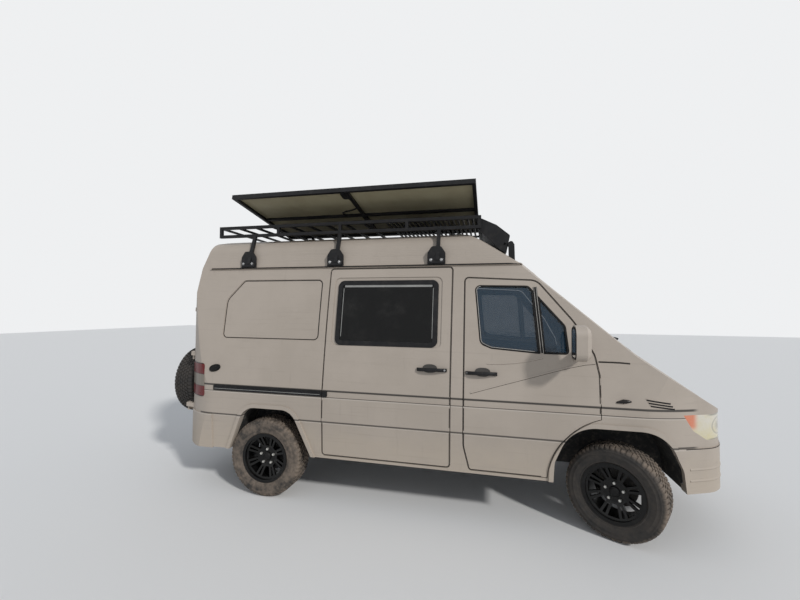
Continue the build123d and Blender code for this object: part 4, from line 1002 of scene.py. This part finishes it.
# sliding door: bright track in its rail, and the cover of its carriage
slideForm = {
    "ends": (frontAxleX - 3.520, frontAxleX - 2.450),
    "track": bar(0.005, 0.003, 0.001),
    "trackRise": -0.006,
    "lip": bar(0.012, 0.004, 0.0018),
    "lipRise": 0.020,
    "cover": (frontAxleX - 2.428, frontAxleX - 2.385, 0.026),  # rear, front, half height
    "coverLevels": ((1.0, -0.002), (1.0, 0.008), (0.92, 0.012), (0.5, 0.0135)),
}
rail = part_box("slide_rail")
railMiddle = (rail[0][2] + rail[1][2]) / 2
for part, look, slot in (("track", "rail", "steel"), ("lip", "plastic", "black_plastic")):
    line = along([(x, railMiddle + slideForm[part + "Rise"]) for x in slideForm["ends"]], 0.15)
    make("rail_" + part, sideStrip("slide_rail", line, -1, slideForm[part]), look, "body")
rear, front, half = slideForm["cover"]
corners = ((rear, railMiddle - half, 0.008), (front, railMiddle - half, 0.008),
           (front, railMiddle + half, 0.008), (rear, railMiddle + half, 0.008))
cover = sideForm("sliding_door", rounded(corners, 4), -1, slideForm["coverLevels"])
make("carriage_cover", cover, "plastic", "body", 50)

# gutters: a thin black strip along the foot of the roof cap
gutterForm = {"line": ((-3.715, 2.1085), (-0.745, 2.1085)), "section": bar(0.0105, 0.0022, 0.0008)}
for side, label in sides:
    strip = sideStrip("body_side_" + label, along(atAxle(gutterForm["line"]), 0.1), side, gutterForm["section"])
    make("gutter_strip_" + label, strip, "seal", "body")

# roof rack: clamps and bolts on the feet
footForm = {
    "stations": (-3.295, -2.390, -1.450),
    "middle": (0.8125, 2.145),  # distance from the van's middle, height
    "clamp": ((-0.070, 2.120, 0.010), (0.070, 2.120, 0.010), (0.070, 2.165, 0.020),
              (0.030, 2.178, 0.020), (-0.030, 2.178, 0.020), (-0.070, 2.165, 0.020)),
    "clampLevels": ((1.0, -0.002), (1.0, 0.009), (0.95, 0.013), (0.4, 0.0135)),
    "bolts": (-0.046, 0.046),
    "boltPlace": (0.825, 2.150),
    "bolt": ((0.014, 0), (0.014, 0.0022), (0.010, 0.0025), (0.010, 0.0085), (0.008, 0.0098), (0.003, 0.010)),
}
for side, label in sides:
    clamps, bolts = [], []
    for station in footForm["stations"]:
        footX = frontAxleX + station
        out, height = footForm["middle"]
        corners = [(footX + x, z, radius) for x, z, radius in footForm["clamp"]]
        ring = [Vector((x, side * out, z)) for x, z in rounded(corners, 5)]
        heart = Vector((footX, side * out, height))
        clamps.append(raised(ring, heart, Vector((0, side, 0)), footForm["clampLevels"]))
        out, height = footForm["boltPlace"]
        for shift in footForm["bolts"]:
            at = Matrix.Translation((footX + shift, side * out, height))
            turned = Matrix.Rotation(0 if side > 0 else pi, 4, "Z")
            bolts.append(moved(latheY(footForm["bolt"], 6), at @ turned))
    make("foot_clamps_" + label, together(clamps), "powder", "body", 50)
    make("foot_bolts_" + label, together(bolts), "bolt", "body")
print("roof rack dressed")

# a stay at each front corner of the fairing, standing on the roof's front slope
stayForm = {
    "plate": ((-0.838, 2.150, 0.010), (-0.785, 2.130, 0.010), (-0.790, 2.290, 0.020), (-0.812, 2.325, 0.018),
              (-0.842, 2.310, 0.020)),
    "plateFaces": (0.668, 0.678),  # distances from the van's middle
    "link": ((-0.812, 2.270), (-0.880, 2.300)),
    "linkFace": 0.664,
    "linkSection": bar(0.024, 0.006, 0.001),
}
for side, label in sides:
    flat = rounded(atAxle(stayForm["plate"]), 4)
    plate = loft([[Vector((x, side * out, z)) for x, z in flat] for out in stayForm["plateFaces"]])
    path = [Vector((x, side * stayForm["linkFace"], z)) for x, z in atAxle(stayForm["link"])]
    link = sweep(path, [Vector((0, side, 0))] * 2, stayForm["linkSection"])
    make("fairing_stay_" + label, together([plate, link]), "powder", "body", 40)

# solar panel: junction box, clips and the lead clipped under the sheet, in the tilted panel's own frame
panelForm = {
    "hinge": (frontAxleX - 2.255, 0.19, 2.562),
    "tilt": 9.4,
    "under": 0.038,  # height of the sheet's underside
    "lead": 0.0070,  # half its thickness
    "box": oval(0.042, 0.058, 5.0, 24),
    "boxPlace": (-0.034, -1.030),
    "boxLevels": ((1.0, 0.0), (1.0, 0.014), (0.93, 0.019), (0.3, 0.020)),
    "route": ((-0.034, -0.985), (-0.020, -0.930), (0.000, -0.860), (-0.004, -0.800), (-0.040, -0.735),
              (-0.120, -0.700), (-0.195, -0.678), (-0.215, -0.640), (-0.185, -0.610), (-0.110, -0.608),
              (-0.050, -0.620), (-0.030, -0.600), (-0.030, -0.480), (-0.030, -0.240), (-0.030, -0.070)),
    "clip": oval(0.013, 0.010, 4.0, 16),
    "clips": ((-0.008, -0.830), (-0.150, -0.690), (-0.130, -0.608), (-0.030, -0.330), (-0.030, -0.130)),
    "clipLevels": ((1.0, 0.0), (1.0, 0.009), (0.7, 0.0115), (0.2, 0.012)),
}
panelFrame = Matrix.Translation(panelForm["hinge"]) @ Matrix.Rotation(-radians(panelForm["tilt"]), 4, "X")


def underSheet(place, outline, levels):
    heart = Vector((*place, panelForm["under"]))
    ring = [heart + Vector((x, y, 0)) for x, y in outline]
    return moved(raised(ring, heart, Vector((0, 0, -1)), levels), panelFrame)


box = underSheet(panelForm["boxPlace"], panelForm["box"], panelForm["boxLevels"])
make("panel_box", box, "seal", "solar_panel", 40)
curve = bpy.data.curves.new("panel_lead", "CURVE")
curve.dimensions = "3D"
curve.bevel_depth = panelForm["lead"]
curve.bevel_resolution = 3
spline = curve.splines.new("NURBS")
spline.points.add(len(panelForm["route"]) - 1)
for spot, (x, y) in zip(spline.points, panelForm["route"]):
    spot.co = tuple(panelFrame @ Vector((x, y, panelForm["under"] - panelForm["lead"]))) + (1.0,)
spline.order_u = 3
spline.use_endpoint_u = True
curve.materials.append(looks["seal"])
lead = bpy.data.objects.new("panel_lead", curve)
scene.collection.objects.link(lead)
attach(lead, "solar_panel")
clips = [underSheet(place, panelForm["clip"], panelForm["clipLevels"]) for place in panelForm["clips"]]
make("panel_clips", together(clips), "seal", "solar_panel", 40)
print("solar panel dressed")

# mirrors: black surround and silvered glass on the rear of each shell
mirrorForm = {
    "x": frontAxleX - 0.400,
    "outline": ((1.040, 1.366, 0.030), (1.186, 1.366, 0.035), (1.186, 1.600, 0.045), (1.040, 1.600, 0.035)),
    "middle": (1.113, 1.483),
    "surroundLevels": ((1.0, -0.004), (1.0, 0.002), (0.97, 0.005), (0.90, 0.005), (0.88, 0.001), (0.3, 0.001)),
    "glassLevels": ((0.88, 0.0010), (0.87, 0.0024), (0.3, 0.0026)),
}
for side, label in sides:
    body = "cab_door_" + label + "_body"
    ring = [Vector((mirrorForm["x"], side * y, z)) for y, z in rounded(mirrorForm["outline"], 6)]
    heart = Vector((mirrorForm["x"], side * mirrorForm["middle"][0], mirrorForm["middle"][1]))
    surround = raised(ring, heart, Vector((-1, 0, 0)), mirrorForm["surroundLevels"])
    make("mirror_surround_" + label, surround, "plastic", body, 35)
    glass = raised(ring, heart, Vector((-1, 0, 0)), mirrorForm["glassLevels"])
    make("mirror_glass_" + label, glass, "mirrorGlass", body, 35)

# windscreen: a black rubber surround along the edge of the glass
screenForm = {
    "middle": Vector((frontAxleX - 0.225, 0, 1.760)),
    "slope": Vector((0.855, 0, 0.750)).normalized(),
    "corners": ((-0.790, -0.480, 0.060), (0.790, -0.480, 0.060), (0.668, 0.470, 0.070), (-0.668, 0.470, 0.070)),
    "inset": 0.013,
    "seal": bar(0.024, 0.0045, 0.0015),
}
slope = screenForm["slope"]
outward = Vector((slope.z, 0, slope.x))
upward = Vector((-slope.x, 0, slope.z))
spots = []
for point in inset(spaced(rounded(screenForm["corners"], 8), 0.04), screenForm["inset"]):
    start = screenForm["middle"] + Vector((0, point.x, 0)) + upward * point.y + outward * 0.5
    spots.append(meets("windscreen", start, -outward))
make("windscreen_seal", sweepOn(spots, screenForm["seal"], True), "seal", "body")

# grille: even slats over black strips of painted shade in the gaps between them, with three posts
grilleForm = {
    "heights": (0.802, 0.834, 0.866, 0.898, 0.930),
    "half": 0.449,
    "steps": 22,
    "bow": 0.24 / 0.45,  # how fast its face turns aside, to a metre
    "slat": bar(0.0150, 0.0085, 0.0030),
    "ground": bar(0.0150, 0.0012, 0.0004),
    "post": bar(0.014, 0.0100, 0.003),
    "postEnd": Vector((0, 0, 0.010)),
}
half, steps = grilleForm["half"], grilleForm["steps"]
places = [-half + 2 * half * step / steps for step in range(steps + 1)]
slatRows = []
for height in grilleForm["heights"]:
    slatRows.append([meets("grille", (frontAxleX + 2, y, height), (-1, 0, 0))[0] for y in places])
bows = [Vector((1, grilleForm["bow"] * place.y, 0)).normalized() for place in slatRows[0]]
slats = [sweep(slatRow, bows, grilleForm["slat"]) for slatRow in slatRows]
grounds = []
for lower, upper in zip(slatRows, slatRows[1:]):
    grounds.append(sweep([(a + b) / 2 for a, b in zip(lower, upper)], bows, grilleForm["ground"]))
make("grille_grounds", together(grounds), "shadeBlack", "body")
for number in (0, len(bows) // 2, len(bows) - 1):
    post = [slatRow[number] for slatRow in slatRows]
    post = [post[0] - grilleForm["postEnd"]] + post + [post[-1] + grilleForm["postEnd"]]
    slats.append(sweep(post, [bows[number]] * len(post), grilleForm["post"]))
make("grille_slats", together(slats), "plastic", "body", 40)

# front bumper: a dark line of painted shade in the seam along the top, and two soft creases at each corner
bumperForm = {
    "centre": frontAxleX + 0.2,  # x of the point that its corners are round about
    "creases": (0.569, 0.488),
    "creaseTurns": ((-76, -39), (39, 76)),
    "crease": ((0.007, -0.001), (0.005, 0.0030), (-0.002, 0.0040), (-0.012, -0.001)),
    "seamHeight": 0.7168,
    "seam": bar(0.0055, 0.0012, 0.0004),
}


def roundNose(height, low, high, steps):
    # spots of the bumper at one height, seen from its centre between two directions
    spots = []
    for place in range(steps + 1):
        turn = radians(low + (high - low) * place / steps)
        way = Vector((cos(turn), sin(turn), 0))
        spots.append(meets("front_bumper", Vector((bumperForm["centre"], 0, height)) + way * 4, -way))
    return spots


creases = []
for height in bumperForm["creases"]:
    for low, high in bumperForm["creaseTurns"]:
        creases.append(sweepOn(roundNose(height, low, high, 60), bumperForm["crease"]))
make("bumper_creases", together(creases), "paint", "body", 60)
seam = sweepOn(roundNose(bumperForm["seamHeight"], -78, 78, 150), bumperForm["seam"])
make("bumper_seam_shade", seam, "shadeAndGrime", "body")
print("front dressed")

# rear doors: a black seal round each glass, and the handle next to the middle
rearForm = {
    "glass": ((-0.110, 1.330, 0.050), (-0.110, 1.900, 0.050), (-0.600, 1.900, 0.060), (-0.655, 1.330, 0.060)),
    "inset": 0.011,
    "seal": bar(0.020, 0.0070, 0.0025),
    "handle": (0.108, 1.128),
    "plate": oval(0.062, 0.040, 4.0, 32),
    "plateLevels": ((1.0, -0.002), (1.0, 0.004), (0.95, 0.007), (0.86, 0.007), (0.82, 0.002), (0.3, 0.002)),
    # the grip over the plate, as (across, height)
    "arch": ((-0.052, 0.003), (-0.046, 0.013), (-0.020, 0.017), (0.020, 0.017), (0.046, 0.013), (0.052, 0.003)),
    "archRise": 0.018,
    "grip": oval(0.013, 0.005, 3.0, 12),
}


def onRear(nodeNames, y, z):
    return meets(nodeNames, (-5, y, z), (1, 0, 0))


for side, label in sides:
    corners = [(-side * y, z, radius) for y, z, radius in rearForm["glass"]]
    line = inset(spaced(rounded(corners, 8), 0.04), rearForm["inset"])
    ring = sweepOn([onRear("rear_glass_" + label, y, z) for y, z in line], rearForm["seal"], True)
    make("rear_glass_seal_" + label, ring, "seal", "rear_door_" + label + "_body")
middleY, middleZ = rearForm["handle"]
heart, facing = onRear("rear_door_left", middleY, middleZ)
ring = [onRear("rear_door_left", middleY + y, middleZ + z)[0] for y, z in rearForm["plate"]]
plate = raised(ring, heart, facing, rearForm["plateLevels"])
path = [heart + Vector((0, y, rearForm["archRise"])) + facing * out for y, out in rearForm["arch"]]
grip = sweep(path, [facing] * len(path), rearForm["grip"])
make("rear_handle", together([plate, grip]), "plastic", "rear_door_left_body", 45)
print("rear doors dressed")

# wipers, at rest low on the windscreen
wiperForm = {
    "wipers": ((0.60, 0.60), (-0.04, 0.56)),  # y of the pivot, length of the blade
    "pivotHeight": 1.425,
    "bladeStart": 0.06,
    "bladeHeight": 1.462,
    "bladeRise": 0.020,
    "bladeLift": 0.010,
    "armLift": (0.030, 0.022),
    "armPoints": 8,
    "blade": ((0.003, -0.009), (0.007, 0.004), (0.004, 0.012), (-0.004, 0.012), (-0.007, 0.004), (-0.003, -0.009)),
    "arm": oval(0.0085, 0.0045, 3.0, 10),
}


def onScreen(y, z):
    return meets("windscreen cowl", (frontAxleX + 1.5, y, z), (-1, 0, 0))


for number, (pivotY, length) in enumerate(wiperForm["wipers"]):
    pivot = onScreen(pivotY, wiperForm["pivotHeight"])[0]
    nearLift, farLift = wiperForm["armLift"]
    blade, arm, ups = [], [], []
    for step in range(13):
        share = step / 12
        height = wiperForm["bladeHeight"] + wiperForm["bladeRise"] * share
        place, facing = onScreen(pivotY - wiperForm["bladeStart"] - share * length, height)
        blade.append(place + facing * wiperForm["bladeLift"])
        arm.append(place.lerp(pivot, 1 - share) + facing * (nearLift + (farLift - nearLift) * share))
        ups.append(facing)
    make("wiper_blade_%d" % number, sweep(blade, ups, wiperForm["blade"]), "seal", "body")
    points = wiperForm["armPoints"]
    armShape = sweep(arm[:points], ups[:points], wiperForm["arm"])
    make("wiper_arm_%d" % number, armShape, "plastic", "body", 50)
print("mirrors and wipers on")

# cab seats: soft cloth forms, with plastic sides and belts
seatForm = {
    # side outlines of the soft parts, and half the width of each
    "cushion": ((-1.095, 0.868, 0.02), (-0.575, 0.868, 0.04), (-0.562, 0.968, 0.05), (-0.700, 0.972, 0.10),
                (-0.975, 0.940, 0.05), (-1.090, 0.960, 0.02)),
    "back": ((-1.100, 0.920, 0.03), (-0.972, 0.962, 0.05), (-1.062, 1.270, 0.3), (-1.100, 1.480, 0.05),
             (-1.182, 1.482, 0.05), (-1.128, 0.935, 0.03)),
    "rest": ((-1.124, 1.556, 0.04), (-1.140, 1.706, 0.04), (-1.205, 1.706, 0.04), (-1.193, 1.556, 0.04)),
    "halves": {"cushion": 0.232, "back": 0.226, "rest": 0.122},
    "middle": 0.45,
    "voxel": 0.009,
    "pressure": 4,
    "frames": 20,
    "cap": 0.022,  # the furthest that the cloth may swell
    "seam": 0.150,  # distance of the two long seams from the seat's middle
    "seamHalf": 0.009,
    "seamDepth": 0.007,
    "bolster": 0.012,
    "posts": (-0.055, 0.055),
    "post": ((-1.148, 1.470), (-1.162, 1.580)),
    "shell": ((-1.150, 0.866, 0.03), (-0.640, 0.866, 0.03), (-0.640, 0.900, 0.02), (-0.990, 0.930, 0.05),
              (-1.080, 1.010, 0.03), (-1.150, 0.990, 0.02)),
    "shells": 0.236,
    "shellLevels": ((1.0, -0.006), (1.0, 0.004), (0.97, 0.006)),
}
# the belt hangs from its upper anchor on the pillar, as (x, distance from the van's middle, z)
beltForm = {
    "line": ((-1.205, 0.770, 1.740), (-1.190, 0.755, 1.560), (-1.150, 0.745, 1.250), (-1.130, 0.730, 0.980)),
    "anchor": (-1.212, 0.776, 1.780),
    "facing": Vector((0.94, 0, 0.34)).normalized(),
    "webbing": bar(0.046, 0.0016, 0.0004),
    "loop": bar(0.060, 0.012, 0.004),
}


def applied(piece):
    # the modifiers' result becomes the mesh itself
    shown = piece.evaluated_get(bpy.context.evaluated_depsgraph_get())
    result = bpy.data.meshes.new_from_object(shown)
    piece.modifiers.clear()
    piece.data = result


def softForm(part):
    # a rounded block from a side outline, swollen as cloth under pressure, then its seams drawn in
    outline = spaced(rounded(atAxle(seatForm[part]), 6), 0.02)
    middle = sum(outline, Vector((0, 0))) / len(outline)
    half = seatForm["halves"][part]
    rings = []
    for step in range(15):
        share = -1 + step / 7
        size = 0.55 + 0.45 * max(0.0, 1 - abs(share) ** 6) ** (1 / 6)
        across = [middle.x + (point.x - middle.x) * size for point in outline]
        up = [middle.y + (point.y - middle.y) * size for point in outline]
        rings.append([Vector((x, share * half, z)) for x, z in zip(across, up)])
    points, faces = loft(rings)
    mesh = bpy.data.meshes.new("soft_" + part)
    mesh.from_pydata([tuple(point) for point in points], [], faces)
    piece = bpy.data.objects.new("soft_" + part, mesh)
    scene.collection.objects.link(piece)
    remesh = piece.modifiers.new("remesh", "REMESH")
    remesh.mode = "VOXEL"
    remesh.voxel_size = seatForm["voxel"]
    applied(piece)
    before = [vertex.co.copy() for vertex in piece.data.vertices]
    cloth = piece.modifiers.new("cloth", "CLOTH")
    cloth.settings.use_pressure = True
    cloth.settings.uniform_pressure_force = seatForm["pressure"]
    cloth.settings.effector_weights.gravity = 0
    for number in range(1, seatForm["frames"] + 1):
        scene.frame_set(number)
    applied(piece)
    scene.frame_set(1)
    for vertex, start in zip(piece.data.vertices, before):
        shift = vertex.co - start
        if shift.length > seatForm["cap"]:
            vertex.co = start + shift.normalized() * seatForm["cap"]
    smooth = piece.modifiers.new("smooth", "SUBSURF")
    smooth.levels = 1
    smooth.render_levels = 1
    applied(piece)
    if part != "rest":
        for vertex in piece.data.vertices:
            beyond = abs(vertex.co.y) - seatForm["seam"]
            pull = max(0.0, 1 - abs(beyond) / seatForm["seamHalf"]) ** 2 * seatForm["seamDepth"]
            bolster = min(1.0, max(0.0, beyond) / (half - seatForm["seam"]))
            inward = Vector((middle.x - vertex.co.x, 0, middle.y - vertex.co.z)).normalized()
            vertex.co += inward * (pull - seatForm["bolster"] * sin(bolster * pi))
    mesh = piece.data
    bpy.data.objects.remove(piece)
    mesh.shade_smooth()
    mesh.materials.clear()
    mesh.materials.append(looks["cloth"])
    return mesh


softMeshes = {part: softForm(part) for part in ("cushion", "back", "rest")}
for side, label in sides:
    middle = side * seatForm["middle"]
    for part, mesh in softMeshes.items():
        soft = setDown("seat_%s_%s" % (part, label), mesh, "body", Matrix.Translation((0, middle, 0)))
        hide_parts("cab_seats")
    posts = []
    for shift in seatForm["posts"]:
        path = [Vector((x, middle + shift, z)) for x, z in atAxle(seatForm["post"])]
        posts.append(sweep(path, [Vector((1, 0, 0))] * 2, tube(0.006, 12)))
    make("rest_posts_" + label, together(posts), "bolt", "body")
    flat = rounded(atAxle(seatForm["shell"]), 5)
    heart = sum(flat, Vector((0, 0))) / len(flat)
    shells = []
    for edge in (-1, 1):
        out = middle + edge * seatForm["shells"]
        ring = [Vector((point.x, out, point.y)) for point in flat]
        shells.append(raised(ring, Vector((heart.x, out, heart.y)), Vector((0, edge, 0)), seatForm["shellLevels"]))
    make("seat_shells_" + label, together(shells), "dash", "body", 45)
    belt = [Vector((x, side * y, z)) for x, y, z in atAxle(beltForm["line"] + (beltForm["anchor"],))]
    ways = [beltForm["facing"]] * 4
    shapes = [sweep(belt[:4], ways, beltForm["webbing"]), sweep([belt[4], belt[0]], ways[:2], beltForm["loop"])]
    make("belt_" + label, together(shapes), "belt", "body", 30)
print("seats made")

# steering wheel: a round padded rim over the plain one, with spokes and a hub pad
steeringForm = {
    "centre": (frontAxleX - 0.395, 0.400, 1.190),
    "away": Vector((-0.72, 0, 0.69)).normalized(),
    "radius": 0.1905,
    "rim": oval(0.0175, 0.018375, 2.2, 14),
    "spokes": (0, 180, 235, 305),
    "spoke": ((0.045, 0.004), (0.110, -0.004), (0.182, 0.0)),  # out from the hub, up
    "spokeSection": oval(0.017, 0.008, 3.0, 12),
    "pad": oval(0.085, 0.070, 3.2, 28),
    "padLevels": ((0.85, -0.045), (1.0, -0.030), (1.0, 0.000), (0.94, 0.014), (0.78, 0.022), (0.3, 0.026)),
}
up = Vector((0, 0, 1))
rings = []
for step in range(64):
    turn = 2 * pi * step / 64
    out = Vector((cos(turn), sin(turn), 0))
    rings.append([out * (steeringForm["radius"] + across) + up * high for across, high in steeringForm["rim"]])
shapes = [loft(rings, looped=True)]
for spoke in steeringForm["spokes"]:
    out = Vector((cos(radians(spoke)), sin(radians(spoke)), 0))
    path = [out * across + up * high for across, high in steeringForm["spoke"]]
    shapes.append(sweep(path, [up] * 3, steeringForm["spokeSection"]))
pad = [Vector((x, y, 0)) for x, y in steeringForm["pad"]]
shapes.append(raised(pad, Vector((0, 0, 0)), up, steeringForm["padLevels"]))
turned = steeringForm["away"].to_track_quat("Z", "Y").to_matrix().to_4x4()
wheelFrame = Matrix.Translation(steeringForm["centre"]) @ turned
make("steering_wheel", moved(together(shapes), wheelFrame), "dash", "body", 50)
print("steering wheel made")

# studio: a pale floor, a plain backdrop, soft light from the sky and one sun
studio = {
    "floorSize": 60,
    "floorColour": (0.78, 0.77, 0.75),
    "backColour": (0.86, 0.87, 0.88),
    "skyLight": (0.80, 0.86, 0.95),
    "skyStrength": 0.52,
    "sunTurn": 52,  # degrees from the van's side towards its nose
    "sunHeight": 33,
    "sunStrength": 1.95,
    "sunSoftness": 5,
}
half = studio["floorSize"] / 2
floorMesh = bpy.data.meshes.new("floor")
floorMesh.from_pydata([(-half, -half, 0), (half, -half, 0), (half, half, 0), (-half, half, 0)], [], [(0, 1, 2, 3)])
floor = bpy.data.objects.new("floor", floorMesh)
scene.collection.objects.link(floor)
floorLook = Finish("floorPale")
floorLook.set("Base Color", studio["floorColour"])
floorLook.set("Roughness", 0.9)
floorMesh.materials.append(floorLook.material)

# the backdrop shows to the camera, in reflections and through glass; the sky only gives light
world = bpy.data.worlds.new("studio")
scene.world = world
world.use_nodes = True
skyTree = world.node_tree
ray = skyTree.nodes.new("ShaderNodeLightPath")
seen = ray.outputs["Is Camera Ray"]
for kind in ("Is Glossy Ray", "Is Transmission Ray"):
    either = skyTree.nodes.new("ShaderNodeMath")
    either.operation = "MAXIMUM"
    skyTree.links.new(seen, either.inputs[0])
    skyTree.links.new(ray.outputs[kind], either.inputs[1])
    seen = either.outputs[0]
sky = skyTree.nodes["Background"]
sky.inputs["Color"].default_value = studio["skyLight"] + (1.0,)
sky.inputs["Strength"].default_value = studio["skyStrength"]
plainBack = skyTree.nodes.new("ShaderNodeBackground")
plainBack.inputs["Color"].default_value = studio["backColour"] + (1.0,)
backBlend = skyTree.nodes.new("ShaderNodeMixShader")
for number, output in enumerate((seen, sky.outputs[0], plainBack.outputs[0])):
    skyTree.links.new(output, backBlend.inputs[number])
skyTree.links.new(backBlend.outputs[0], skyTree.nodes["World Output"].inputs[0])

sunData = bpy.data.lights.new("sun", "SUN")
sunData.energy = studio["sunStrength"]
sunData.angle = radians(studio["sunSoftness"])
sun = bpy.data.objects.new("sun", sunData)
turn, height = radians(studio["sunTurn"]), radians(studio["sunHeight"])
fromSun = Vector((sin(turn) * cos(height), -cos(turn) * cos(height), sin(height)))
sun.rotation_euler = fromSun.to_track_quat("Z", "Y").to_euler()
scene.collection.objects.link(sun)

# camera: the place, direction and lens fitted to the photograph
cameraView = {
    "place": (frontAxleX - 0.9938, -4.1159, 1.7067),
    "yaw": 0.23074,  # radians, towards the tail
    "pitch": 0.0279,
    "roll": 0.00893,
    "lens": 17.27,  # mm
    "sensor": 36,
}
yaw, pitch, roll = cameraView["yaw"], cameraView["pitch"], cameraView["roll"]
right = Vector((cos(yaw), sin(yaw), 0))
ahead = Vector((-sin(yaw) * cos(pitch), cos(yaw) * cos(pitch), sin(pitch)))
above = right.cross(ahead)
rolledRight = right * cos(roll) + above * sin(roll)
rolledUp = above * cos(roll) - right * sin(roll)
cameraData = bpy.data.cameras.new("camera")
cameraData.lens = cameraView["lens"]
cameraData.sensor_width = cameraView["sensor"]
camera = bpy.data.objects.new("camera", cameraData)
turned = Matrix((rolledRight, rolledUp, -ahead)).transposed()
camera.matrix_world = Matrix.Translation(cameraView["place"]) @ turned.to_4x4()
scene.collection.objects.link(camera)
scene.camera = camera
scene.view_settings.view_transform = "Standard"
print("studio and camera set")
